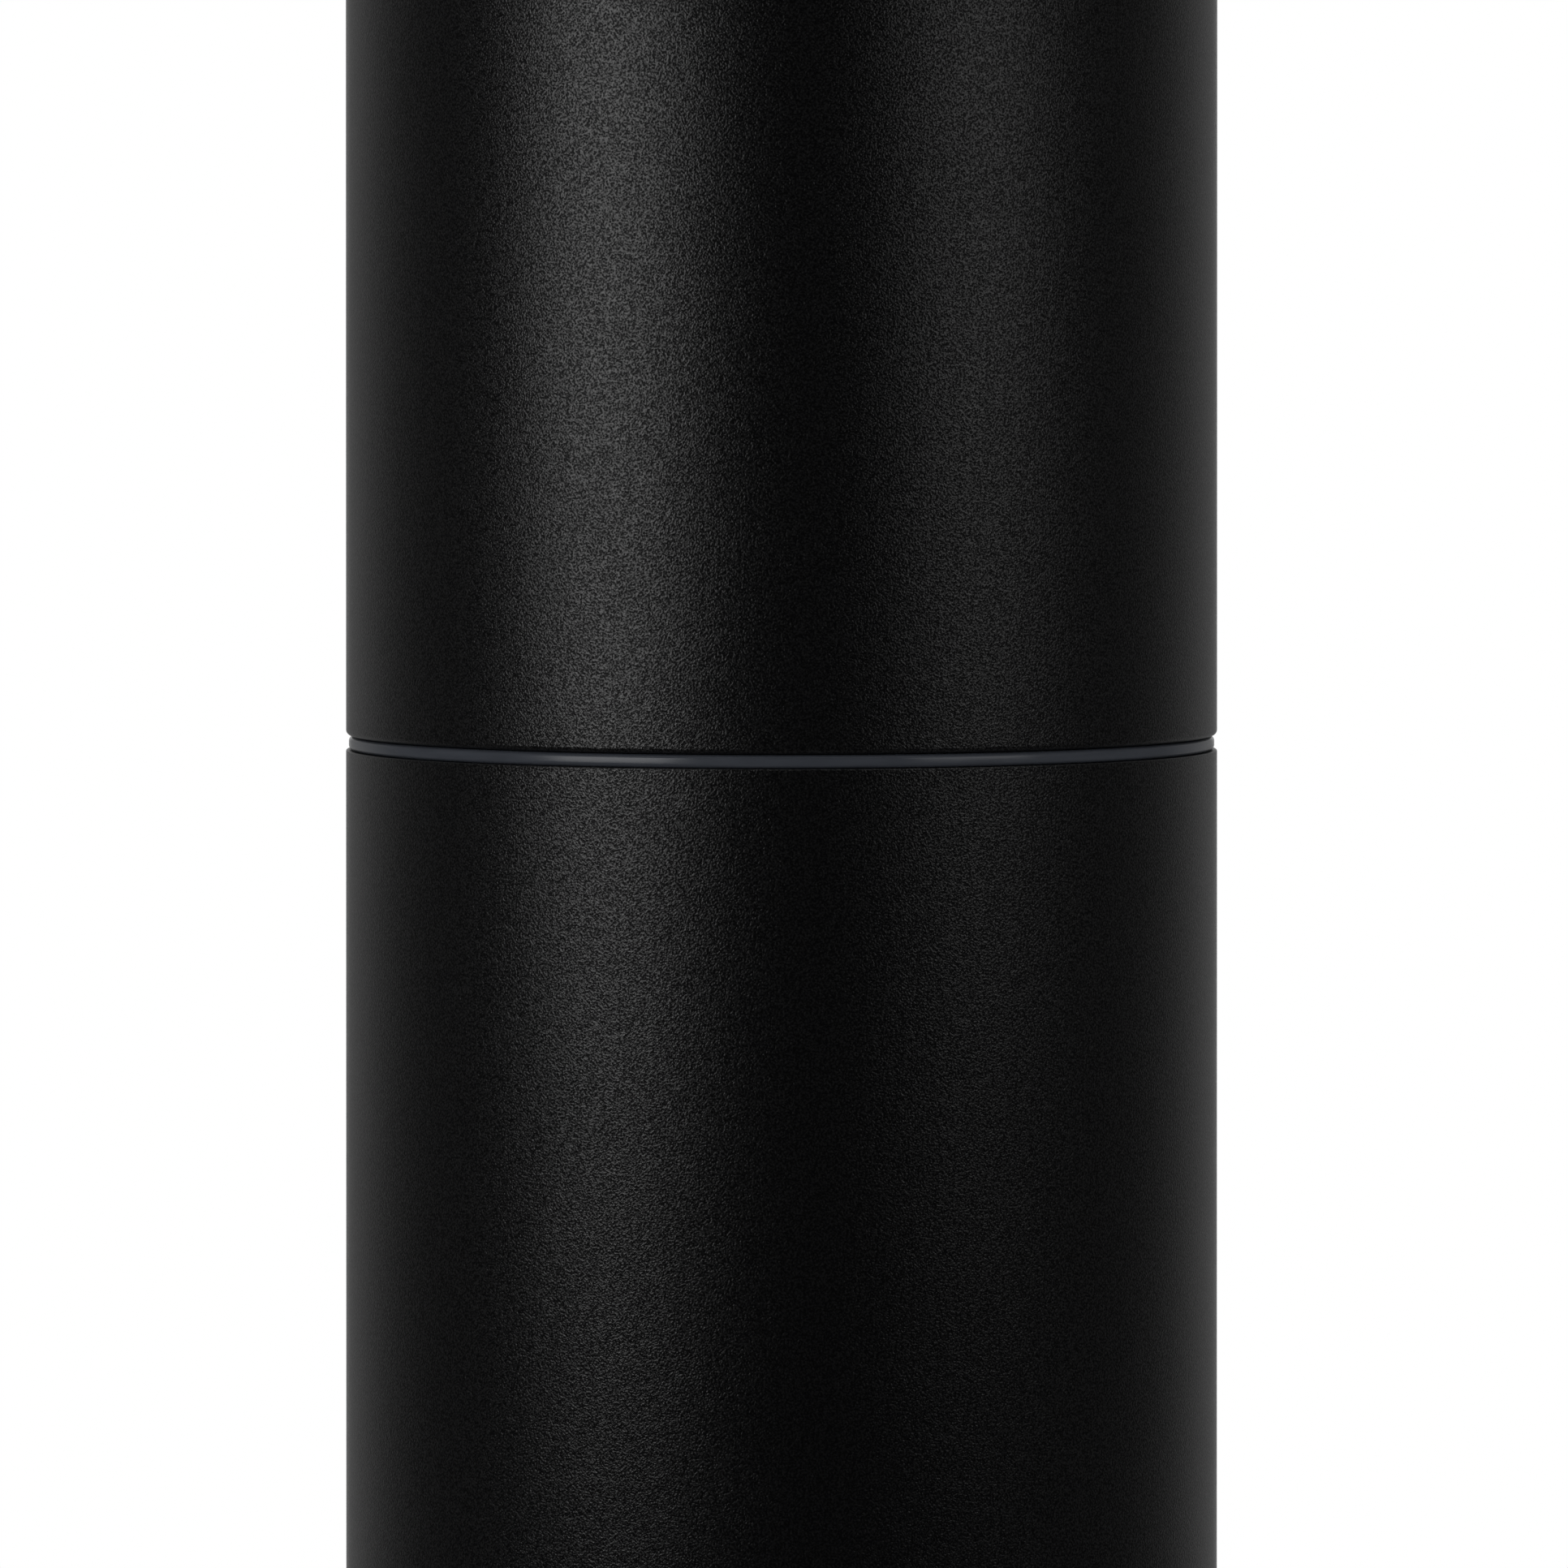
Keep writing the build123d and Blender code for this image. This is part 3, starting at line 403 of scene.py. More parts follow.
def black_acetal(tree, colours, sizes):
    """Acetal, moulded in a spark-eroded tool: a fine even grain, with a waxy sheen where it flowed last."""
    place = add(tree, "TexCoord").outputs["Object"]
    spark = add(
        tree, "TexNoise", {"Vector": place, "Scale": per_metre(0.1), "Detail": 2.0, "Roughness": 0.5}
    ).outputs["Fac"]
    flow = add(
        tree, "TexNoise", {"Vector": place, "Scale": per_metre(7), "Detail": 3.0, "Distortion": 1.2}
    ).outputs["Fac"]
    sheen = add(tree, "MapRange", {"Value": flow, "To Min": 0.34, "To Max": 0.5}).outputs[0]
    tone = add(
        tree, "Mix",
        {MIX_FACTOR: flow, MIX_FIRST: shaded(colours.acetal, 0.85), MIX_SECOND: shaded(colours.acetal, 1.2)},
        data_type="RGBA",
    ).outputs[MIX_RESULT]
    relief = add(tree, "Bump", {"Height": spark, "Distance": 0.006 * MM, "Strength": 0.7})
    return add(
        tree, "BsdfPrincipled",
        {"Base Color": tone, "Roughness": sheen, "IOR": 1.48, "Normal": relief.outputs["Normal"]},
    )


def white_glide_plastic(tree, colours, sizes):
    """Fluoroplastic, skived from a billet: milk white and waxy, with faint knife lines around it."""
    lines = add(
        tree, "TexNoise",
        {"Vector": around_axis(tree, per_radian=3.0, across=0.3), "Scale": 1.0, "Detail": 3.0, "Roughness": 0.6},
    ).outputs["Fac"]
    tone = add(
        tree, "Mix",
        {MIX_FACTOR: lines, MIX_FIRST: shaded(colours.glide, 0.93), MIX_SECOND: shaded(colours.glide, 1.03)},
        data_type="RGBA",
    ).outputs[MIX_RESULT]
    relief = add(tree, "Bump", {"Height": lines, "Distance": 0.006 * MM, "Strength": 0.6})
    return add(
        tree, "BsdfPrincipled",
        {
            "Base Color": tone, "Roughness": 0.45, "IOR": 1.38, "Subsurface Weight": 0.3,
            "Subsurface Radius": (1.0, 0.95, 0.9), "Subsurface Scale": 0.5 * MM,
            "Normal": relief.outputs["Normal"],
        },
    )


def milky_polypropylene(tree, colours, sizes):
    """Natural polypropylene, moulded: milky and half clear, so light glows through its thin wall."""
    place = add(tree, "TexCoord").outputs["Object"]
    flow = add(
        tree, "TexNoise", {"Vector": place, "Scale": per_metre(12), "Detail": 3.0, "Distortion": 1.5}
    ).outputs["Fac"]
    tone = add(
        tree, "Mix",
        {MIX_FACTOR: flow, MIX_FIRST: shaded(colours.hopper, 0.92), MIX_SECOND: shaded(colours.hopper, 1.05)},
        data_type="RGBA",
    ).outputs[MIX_RESULT]
    gloss = add(tree, "MapRange", {"Value": flow, "To Min": 0.28, "To Max": 0.4}).outputs[0]
    ripple = add(tree, "TexNoise", {"Vector": place, "Scale": per_metre(1.6), "Detail": 2.0}).outputs["Fac"]
    relief = add(tree, "Bump", {"Height": ripple, "Distance": 0.02 * MM, "Strength": 0.4})
    return add(
        tree, "BsdfPrincipled",
        {
            "Base Color": tone, "Roughness": gloss, "IOR": 1.49, "Subsurface Weight": 0.5,
            "Subsurface Radius": (1.0, 1.0, 0.95), "Subsurface Scale": 2.0 * MM,
            "Normal": relief.outputs["Normal"],
        },
    )


def white_ceramic(tree, colours, sizes):
    """Alumina, pressed and sintered, not glazed: warm white and chalky, with fine specks and pepper dust."""
    place = add(tree, "TexCoord").outputs["Object"]
    specks = add(tree, "TexVoronoi", {"Vector": place, "Scale": per_metre(0.5)}).outputs["Distance"]
    speck = add(tree, "MapRange", {"Value": specks, "From Min": 0.08, "From Max": 0.16}).outputs[0]
    dust = add(tree, "TexNoise", {"Vector": place, "Scale": per_metre(2.4), "Detail": 4.0}).outputs["Fac"]
    dusty = add(tree, "MapRange", {"Value": dust, "From Min": 0.5, "From Max": 0.85}).outputs[0]
    clean = add(
        tree, "Mix",
        {MIX_FACTOR: speck, MIX_FIRST: shaded(colours.ceramic, 0.75), MIX_SECOND: opaque(colours.ceramic)},
        data_type="RGBA",
    ).outputs[MIX_RESULT]
    tone = add(
        tree, "Mix",
        {MIX_FACTOR: dusty, MIX_FIRST: clean, MIX_SECOND: shaded(colours.ceramic, 0.72)},
        data_type="RGBA",
    ).outputs[MIX_RESULT]
    chalk = add(tree, "TexNoise", {"Vector": place, "Scale": per_metre(0.15), "Detail": 3.0}).outputs["Fac"]
    relief = add(tree, "Bump", {"Height": chalk, "Distance": 0.008 * MM, "Strength": 0.6})
    return add(
        tree, "BsdfPrincipled",
        {"Base Color": tone, "Roughness": 0.55, "IOR": 1.76, "Normal": relief.outputs["Normal"]},
    )


def glass_filled_nylon(tree, colours, sizes):
    """Nylon with glass fibre, moulded: dull charcoal, clouded by pale fibres that lie at its skin."""
    place = add(tree, "TexCoord").outputs["Object"]
    stretched = add(tree, "Mapping", {"Vector": place, "Scale": (1.0, 0.2, 1.0)}).outputs["Vector"]
    fibre = add(
        tree, "TexNoise", {"Vector": stretched, "Scale": per_metre(0.15), "Detail": 2.0, "Distortion": 0.8}
    ).outputs["Fac"]
    pale = add(tree, "MapRange", {"Value": fibre, "From Min": 0.55, "From Max": 0.75}).outputs[0]
    tone = add(
        tree, "Mix",
        {MIX_FACTOR: pale, MIX_FIRST: opaque(colours.nylon), MIX_SECOND: shaded(colours.nylon, 2.4)},
        data_type="RGBA",
    ).outputs[MIX_RESULT]
    relief = add(tree, "Bump", {"Height": fibre, "Distance": 0.01 * MM, "Strength": 0.6})
    return add(
        tree, "BsdfPrincipled",
        {"Base Color": tone, "Roughness": 0.62, "IOR": 1.53, "Normal": relief.outputs["Normal"]},
    )


def worked_metal(tree, rgb, marks, roughest, smoothest, relief_height):
    """Bare metal whose marks, a pattern from 0 to 1, dull it, tint it and stand out by so many millimetres."""
    dull = add(tree, "MapRange", {"Value": marks, "To Min": smoothest, "To Max": roughest}).outputs[0]
    tone = add(
        tree, "Mix",
        {MIX_FACTOR: marks, MIX_FIRST: shaded(rgb, 0.88), MIX_SECOND: shaded(rgb, 1.06)}, data_type="RGBA",
    ).outputs[MIX_RESULT]
    relief = add(tree, "Bump", {"Height": marks, "Distance": relief_height * MM, "Strength": 0.7})
    return add(
        tree, "BsdfPrincipled",
        {"Base Color": tone, "Metallic": 1.0, "Roughness": dull, "Normal": relief.outputs["Normal"]},
    )


def drawn_aluminium(tree, colours, sizes):
    """Aluminium bar, drawn through a die: pale and satin, with fine lines along its length."""
    place = add(tree, "TexCoord").outputs["Object"]
    stretched = add(tree, "Mapping", {"Vector": place, "Scale": (1.0, 1.0, 0.012)}).outputs["Vector"]
    # The lines are drawn 0.12 mm apart, coarser than a die leaves them, so that they show
    lines = add(
        tree, "TexNoise", {"Vector": stretched, "Scale": per_metre(0.12), "Detail": 3.0, "Roughness": 0.65}
    ).outputs["Fac"]
    return worked_metal(tree, colours.aluminium, lines, roughest=0.46, smoothest=0.24, relief_height=0.006)


def sintered_bronze(tree, colours, sizes):
    """Bronze powder, pressed and sintered: brown gold, dull, and pitted with the pores that hold its oil."""
    place = add(tree, "TexCoord").outputs["Object"]
    pores = add(tree, "TexVoronoi", {"Vector": place, "Scale": per_metre(0.18)}).outputs["Distance"]
    return worked_metal(tree, colours.bronze, pores, roughest=0.6, smoothest=0.38, relief_height=0.012)


def zinc_plated_steel(tree, colours, sizes):
    """Steel screws, zinc plated and passivated: bluish silver, evenly frosted."""
    place = add(tree, "TexCoord").outputs["Object"]
    frost = add(tree, "TexNoise", {"Vector": place, "Scale": per_metre(0.2), "Detail": 4.0}).outputs["Fac"]
    return worked_metal(tree, colours.zinc_plate, frost, roughest=0.42, smoothest=0.26, relief_height=0.004)


def stainless_steel(tree, colours, sizes):
    """Stainless washers, stamped and rubbed: neutral grey, with hair lines around them."""
    lines = add(
        tree, "TexNoise",
        {"Vector": around_axis(tree, per_radian=2.0, across=0.1), "Scale": 1.0, "Detail": 3.0, "Roughness": 0.6},
    ).outputs["Fac"]
    return worked_metal(tree, colours.stainless, lines, roughest=0.45, smoothest=0.22, relief_height=0.004)


def spring_steel(tree, colours, sizes):
    """Spring wire and strip, cold drawn: darker steel, smooth, with a film of oil that varies its gloss."""
    place = add(tree, "TexCoord").outputs["Object"]
    film = add(
        tree, "TexNoise", {"Vector": place, "Scale": per_metre(0.6), "Detail": 3.0, "Distortion": 0.6}
    ).outputs["Fac"]
    return worked_metal(tree, colours.spring_steel, film, roughest=0.36, smoothest=0.2, relief_height=0.003)


def zinc_die_cast(tree, colours, sizes):
    """Zinc alloy, die cast and tumbled: soft grey, slightly mottled, with blunted edges."""
    place = add(tree, "TexCoord").outputs["Object"]
    mottle = add(tree, "TexNoise", {"Vector": place, "Scale": per_metre(0.5), "Detail": 5.0}).outputs["Fac"]
    return worked_metal(tree, colours.die_cast, mottle, roughest=0.52, smoothest=0.32, relief_height=0.01)


def turned_brass(tree, colours, sizes):
    """Brass, turned from bar: bright yellow, with the tool's fine rings on its faces."""
    rings = add(
        tree, "TexNoise",
        {"Vector": around_axis(tree, per_radian=1.5, across=0.12), "Scale": 1.0, "Detail": 2.0, "Roughness": 0.5},
    ).outputs["Fac"]
    return worked_metal(tree, colours.brass, rings, roughest=0.36, smoothest=0.16, relief_height=0.006)


# Name and make of the finish of each material slot
FINISHES = {
    "black_powder_coat": ("Powder-coated aluminium, fine black texture", powder_coat),
    "slate_rubber": ("Silicone rubber, moulded slate grey", slate_rubber),
    "black_rubber": ("Nitrile rubber, moulded matt black", black_rubber),
    "black_acetal": ("Acetal, spark-textured black", black_acetal),
    "white_glide_plastic": ("Fluoroplastic, skived white", white_glide_plastic),
    "milky_polypropylene": ("Polypropylene, moulded natural", milky_polypropylene),
    "white_ceramic": ("Alumina ceramic, sintered white", white_ceramic),
    "glass_filled_nylon": ("Glass-filled nylon, moulded charcoal", glass_filled_nylon),
    "drawn_aluminium": ("Aluminium, drawn bar", drawn_aluminium),
    "sintered_bronze": ("Bronze, sintered", sintered_bronze),
    "zinc_plated_steel": ("Steel, zinc plated", zinc_plated_steel),
    "stainless_steel": ("Stainless steel, stamped", stainless_steel),
    "spring_steel": ("Spring steel, drawn", spring_steel),
    "zinc_die_cast": ("Zinc alloy, die cast", zinc_die_cast),
    "turned_brass": ("Brass, turned", turned_brass),
}


def new_material(name):
    """Empty node material and the tree to paint it in."""
    material = bpy.data.materials.new(name)
    material.use_nodes = True
    material.node_tree.nodes.clear()
    return material, material.node_tree


def finish(slot):
    """Material of one of the record's slots, painted when it is first asked for."""
    name, paint = FINISHES[slot]
    material = bpy.data.materials.get(name)
    if material is None:
        scene = bpy.context.scene
        material, tree = new_material(name)
        surface = paint(tree, scene.mill_colours, scene.mill_sizes)
        add(tree, "OutputMaterial", {"Surface": surface.outputs["BSDF"]})
    return material


class MILL_OT_shells(bpy.types.Operator):
    """Turn the head and body shells, with rounded rims and a powder coat"""

    bl_idname = "mill.shells"
    bl_label = "Shells"

    def execute(self, context):
        sizes = context.scene.mill_sizes
        outer, rim, top = round_extent("head_shell")
        bore = outer - sizes.shell_wall
        ceiling = top - sizes.top_thickness
        head = turned("head_shell_coated", rounded(
            (0, top, 0),
            (0, ceiling, 0),
            (bore, ceiling, sizes.bore_break),
            (bore, rim, sizes.bore_break),
            (outer, rim, sizes.head_rim_round),
            (outer, top, sizes.top_round),
        ))
        stand_for(head, "head_shell")
        outer, bottom, rim = round_extent("body_shell")
        seat, seat_low, _ = round_extent("neck_ring")
        body = turned("body_shell_coated", rounded(
            (outer, bottom, sizes.bottom_round),
            (outer, rim, sizes.body_rim_round),
            (seat, rim, sizes.bore_break),
            (seat, seat_low, 0),
            (bore, seat_low, sizes.bore_break),
            (bore, bottom, sizes.bore_break),
        ))
        stand_for(body, "body_shell")
        return {"FINISHED"}


class MILL_OT_seam_ring(bpy.types.Operator):
    """Mould the rubber ring between the rims, with a round edge that wavers a little"""

    bl_idname = "mill.seam_ring"
    bl_label = "Seam Ring"

    # How far the edge wavers, and how many cells of noise lie along a radian of the ring
    WAVER = 0.02 * MM
    WAVES = 3.0

    def execute(self, context):
        sizes = context.scene.mill_sizes
        outer, low, high = round_extent("seam_ring")
        neck = round_extent("glide_washer")[0]

        def waver(angle, point):
            place = Vector((math.cos(angle), math.sin(angle), 0)) * self.WAVES
            share = (point.x - neck) / (outer - neck)
            return point.x - self.WAVER * share * (1 + noise.noise(place)), point.y

        outline = rounded(
            (outer, low, sizes.ring_foot_round),
            (outer, high, sizes.ring_top_round),
            (neck, high, 0),
            (neck, low, 0),
        )
        stand_for(turned("seam_ring_rubber", outline, waver), "seam_ring")
        return {"FINISHED"}


class MILL_OT_neck(bpy.types.Operator):
    """Turn the neck ring and the washer that the head glides on"""

    bl_idname = "mill.neck"
    bl_label = "Neck Ring and Glide Washer"

    def execute(self, context):
        edge = context.scene.mill_sizes.moulded_round
        outer, low, high = round_extent("neck_ring")
        rim = round_extent("body_shell")[2]
        washer_outer, washer_low, washer_high = round_extent("glide_washer")
        upstand = washer_outer + edge
        bore = round_extent("spigot_seal")[0] + edge / 2
        neck = turned("neck_ring_moulding", rounded(
            (outer, low, edge),
            (outer, rim, edge),
            (upstand, rim, 0),
            (upstand, high, edge),
            (bore, high, 2 * edge),
            (bore, low, 2 * edge),
        ))
        stand_for(neck, "neck_ring")
        washer = turned("glide_washer_disc", rounded(
            *ring_corners(bore + edge, washer_outer, washer_low, washer_high, edge / 2)
        ))
        stand_for(washer, "glide_washer")
        return {"FINISHED"}


class MILL_OT_hopper(bpy.types.Operator):
    """Mould the hopper with its funnel floor"""

    bl_idname = "mill.hopper"
    bl_label = "Hopper"

    # Upright lip of the throat, how far the throat lies inside the stator's rim, and the funnel's bend in rounds
    LIP = 0.6 * MM
    THROAT_STEP = 3 * MM
    FUNNEL_BEND = 8

    def execute(self, context):
        sizes = context.scene.mill_sizes
        edge = sizes.moulded_round
        outer, low, high = round_extent("hopper")
        inner = outer - sizes.hopper_wall
        throat = round_extent("stator_burr")[0] - self.THROAT_STEP
        funnel = low + self.LIP + inner - throat
        under = low + inner - throat - sizes.hopper_wall
        hopper = turned("hopper_moulding", rounded(
            (outer, low, edge),
            (outer, high, edge),
            (inner, high, edge),
            (inner, funnel, self.FUNNEL_BEND * edge),
            (throat, low + self.LIP, edge),
            (throat, low, 0),
            (throat + sizes.hopper_wall, low, 0),
            (inner, under, edge),
            (inner, low, edge),
        ))
        stand_for(hopper, "hopper")
        return {"FINISHED"}


class MILL_OT_mouldings(bpy.types.Operator):
    """Dress the black mouldings: the head core, the grinder housing, the rotor hub and the adjuster knob"""

    bl_idname = "mill.mouldings"
    bl_label = "Mouldings"

    def execute(self, context):
        edge = context.scene.mill_sizes.moulded_round
        for node in ("head_core", "grinder_housing", "rotor_hub", "adjuster_knob"):
            stand_for(softened(node + "_moulding", node, edge), node)
        return {"FINISHED"}


class MILL_OT_rubber(bpy.types.Operator):
    """Mould the foot ring and the spigot seal"""

    bl_idname = "mill.rubber"
    bl_label = "Foot Ring and Seal"

    FOOT_ROUND = 0.4 * MM
    FOOT_WIDTH = 2.3 * MM

    def execute(self, context):
        outer, low, high = round_extent("foot_ring")
        foot = turned("foot_ring_rubber", rounded(
            *ring_corners(outer - self.FOOT_WIDTH, outer, low, high, self.FOOT_ROUND)
        ))
        stand_for(foot, "foot_ring")
        outer, low, high = round_extent("spigot_seal")
        cord = (high - low) / 2
        seal = turned("spigot_seal_rubber", rounded(
            *ring_corners(outer - 2 * cord, outer, low, high, cord)
        ))
        stand_for(seal, "spigot_seal")
        return {"FINISHED"}


class MILL_OT_burrs(bpy.types.Operator):
    """Dress the ceramic burrs"""

    bl_idname = "mill.burrs"
    bl_label = "Burrs"

    def execute(self, context):
        edge = context.scene.mill_sizes.ceramic_round
        for node in ("stator_burr", "rotor_burr"):
            stand_for(softened(node + "_ceramic", node, edge), node)
        return {"FINISHED"}


class MILL_OT_bridge(bpy.types.Operator):
    """Dress the bridge, its screws and the bush that it holds"""

    bl_idname = "mill.bridge"
    bl_label = "Bridge, Screws and Bush"

    def execute(self, context):
        sizes = context.scene.mill_sizes
        stand_for(softened("bridge_moulding", "bridge", sizes.moulded_round), "bridge")
        stand_for(softened("bridge_screws_plated", "bridge_screws", sizes.metal_round), "bridge_screws")
        edge = sizes.metal_round
        outer, low, high = round_extent("shaft_bush")
        # The washers turn with the shaft, so the bush stops an oil film short of them
        low, high = low + sizes.oil_film, high - sizes.oil_film
        sleeve = round_extent("spring_washer")[0]
        flange_low = round_extent("bridge")[2]
        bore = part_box("drive_shaft")[1].x + edge
        bush = turned("shaft_bush_sintered", rounded(
            (sleeve, low, edge),
            (sleeve, flange_low, 0),
            (outer, flange_low, edge),
            (outer, high, edge),
            (bore, high, edge),
            (bore, low, edge),
        ))
        stand_for(bush, "shaft_bush")
        return {"FINISHED"}


class MILL_OT_drive(bpy.types.Operator):
    """Dress the drive shaft, its socket and clip, and turn its washers"""

    bl_idname = "mill.drive"
    bl_label = "Shaft, Socket, Clip and Washers"

    def execute(self, context):
        edge = context.scene.mill_sizes.metal_round
        for node, finished in (("drive_shaft", "_drawn"), ("drive_socket", "_cast"), ("shaft_clip", "_strip")):
            stand_for(softened(node + finished, node, edge), node)
        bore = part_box("drive_shaft")[1].x + edge
        for node in ("thrust_washer", "spring_washer"):
            outer, low, high = round_extent(node)
            washer = turned(node + "_stamped", rounded(*ring_corners(bore, outer, low, high, edge)))
            stand_for(washer, node)
        return {"FINISHED"}


class MILL_OT_burr_spring(bpy.types.Operator):
    """Wind the burr spring, with a closed coil at each end that is ground flat"""

    bl_idname = "mill.burr_spring"
    bl_label = "Burr Spring"

    OPEN_TURNS = 3.5
    CLOSED_TURNS = 1.0
    STEPS_PER_TURN = 64
    WIRE_STEPS = 20

    def execute(self, context):
        wire = context.scene.mill_sizes.spring_wire / 2
        outer, low, high = round_extent("burr_spring")
        coil = outer - wire
        closed_rise = 2 * wire * self.CLOSED_TURNS
        open_rise = high - low - wire - 2 * closed_rise
        turns = self.OPEN_TURNS + 2 * self.CLOSED_TURNS
        steps = round(turns * self.STEPS_PER_TURN)
        shape = bmesh.new()
        rows = []
        for step in range(steps + 1):
            turn = turns * step / steps
            start = min(turn, self.CLOSED_TURNS)
            middle = min(max(turn - self.CLOSED_TURNS, 0), self.OPEN_TURNS)
            end = max(turn - self.CLOSED_TURNS - self.OPEN_TURNS, 0)
            rise = (start + end) / self.CLOSED_TURNS * closed_rise + middle / self.OPEN_TURNS * open_rise
            angle = 2 * math.pi * turn
            row = []
            for part in range(self.WIRE_STEPS):
                lean = 2 * math.pi * part / self.WIRE_STEPS
                reach = coil + wire * math.cos(lean)
                height = low + wire / 2 + rise + wire * math.sin(lean)
                height = min(max(height, low), high)
                row.append(shape.verts.new((reach * math.cos(angle), reach * math.sin(angle), height)))
            rows.append(row)
        for here, there in zip(rows, rows[1:]):
            for part in range(self.WIRE_STEPS):
                after = (part + 1) % self.WIRE_STEPS
                shape.faces.new((here[part], here[after], there[after], there[part]))
        shape.faces.new(rows[0])
        shape.faces.new(rows[-1])
        spring = stand_for(new_piece("burr_spring_wound", shape), "burr_spring")
        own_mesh(spring)
        return {"FINISHED"}


class MILL_OT_adjuster_nut(bpy.types.Operator):
    """Dress the brass nut in the adjuster knob"""

    bl_idname = "mill.adjuster_nut"
    bl_label = "Adjuster Nut"

    def execute(self, context):
        edge = context.scene.mill_sizes.metal_round
        stand_for(softened("adjuster_nut_turned", "adjuster_nut", edge), "adjuster_nut")
        return {"FINISHED"}


class MILL_OT_stage(bpy.types.Operator):
    """Set up the floor, the lamps, the white backdrop and the camera"""

    bl_idname = "mill.stage"
    bl_label = "Stage"

    # The floor is a disc that fades out from the first radius to the second
    FLOOR_FADE = 0.16
    FLOOR_RADIUS = 0.32
    FLOOR_STEPS = 128

    # Place and size of each softbox: bearing from the camera's side, distance from the axis, height, width, tallness
    LEFT_BOX = {"bearing": math.radians(-43.9), "distance": 0.175, "height": 0.116, "width": 0.106, "tall": 0.1}
    RIGHT_BOX = {"bearing": math.radians(50.3), "distance": 0.175, "height": 0.125, "width": 0.1, "tall": 0.083}
    TOP_BOX = {"bearing": math.radians(180), "distance": 0.05, "height": 0.9, "width": 1.2, "tall": 1.2}
    UNDER_BOX = {"bearing": math.radians(180), "distance": 0.05, "height": -0.6, "width": 0.6, "tall": 0.6}

    # Between which directions the room's tones change.
    # Along Y, -1 is towards the camera and 1 is straight behind the mill
    FILL_TO_SIDE = (-0.8, 0.2)
    SIDE_TO_SURROUND = (0.45, 0.9)
    SURROUND_TO_WHITE = (0.975, 0.997)
    # Along Z, -1 is straight down
    LEVEL_TO_GROUND = (-0.35, -0.8)

    # The camera's sensor in millimetres, and its nearest and farthest sight as shares of its distance
    SENSOR = 36.0
    NEAREST = 1 / 20
    FARTHEST = 4

    def floor(self):
        """Pale paper disc that fades into the white, takes the mill's shadow and is clear from below."""
        shape = bmesh.new()
        bmesh.ops.create_circle(shape, cap_ends=True, radius=self.FLOOR_RADIUS, segments=self.FLOOR_STEPS)
        floor = new_piece("studio_floor", shape)
        if floor.data.polygons[0].normal.z < 0:
            floor.data.flip_normals()
        material, tree = new_material("Paper, pale matt")
        place = add(tree, "TexCoord").outputs["Object"]
        reach = add(tree, "VectorMath", {0: place}, operation="LENGTH").outputs["Value"]
        gone = add(
            tree, "MapRange",
            {"Value": reach, "From Min": self.FLOOR_FADE, "From Max": self.FLOOR_RADIUS},
            interpolation_type="SMOOTHSTEP",
        ).outputs[0]
        fibres = add(tree, "TexNoise", {"Vector": place, "Scale": per_metre(0.8), "Detail": 3.0}).outputs["Fac"]
        tone = add(
            tree, "Mix",
            {MIX_FACTOR: fibres, MIX_FIRST: opaque(linear("#F1F1EF")), MIX_SECOND: opaque(linear("#F7F7F5"))},
            data_type="RGBA",
        ).outputs[MIX_RESULT]
        paper = add(tree, "BsdfPrincipled", {"Base Color": tone, "Roughness": 0.9, "Specular IOR Level": 0.1})
        nothing = add(tree, "BsdfTransparent")
        # Clear at its outer edge, and from below, so that the mill's underside can be seen
        under = add(tree, "NewGeometry").outputs["Backfacing"]
        clear = add(tree, "Math", {0: gone, 1: under}, operation="MAXIMUM").outputs[0]
        mixed = add(tree, "MixShader", {0: clear, 1: paper.outputs[0], 2: nothing.outputs[0]})
        add(tree, "OutputMaterial", {"Surface": mixed.outputs[0]})
        floor.data.materials.append(material)
        # The floor throws no light on the mill, whose lower end stays dark, and keeps none from it
        floor.visible_glossy = False
        floor.visible_diffuse = False
        floor.visible_shadow = False

    def softbox(self, name, power, bearing, distance, height, width, tall):
        """Area lamp at a bearing from the camera's side, aimed at the mill's seam."""
        lamp = bpy.data.lights.new(name, "AREA")
        lamp.shape = "RECTANGLE"
        lamp.size = width
        lamp.size_y = tall
        lamp.energy = power
        light = bpy.data.objects.new(name, lamp)
        light.location = (distance * math.sin(bearing), -distance * math.cos(bearing), height)
        aim = Vector((0, 0, round_extent("body_shell")[2])) - light.location
        light.rotation_euler = aim.to_track_quat("-Z", "Y").to_euler()
        light.visible_camera = False
        bpy.context.scene.collection.objects.link(light)
        return light

    def tone(self, tree, way, span, low, high):
        """Brightness that changes from low to high as a direction crosses a span."""
        return add(
            tree, "MapRange",
            {"Value": way, "From Min": span[0], "From Max": span[1], "To Min": low, "To Max": high},
            interpolation_type="SMOOTHSTEP",
        ).outputs[0]

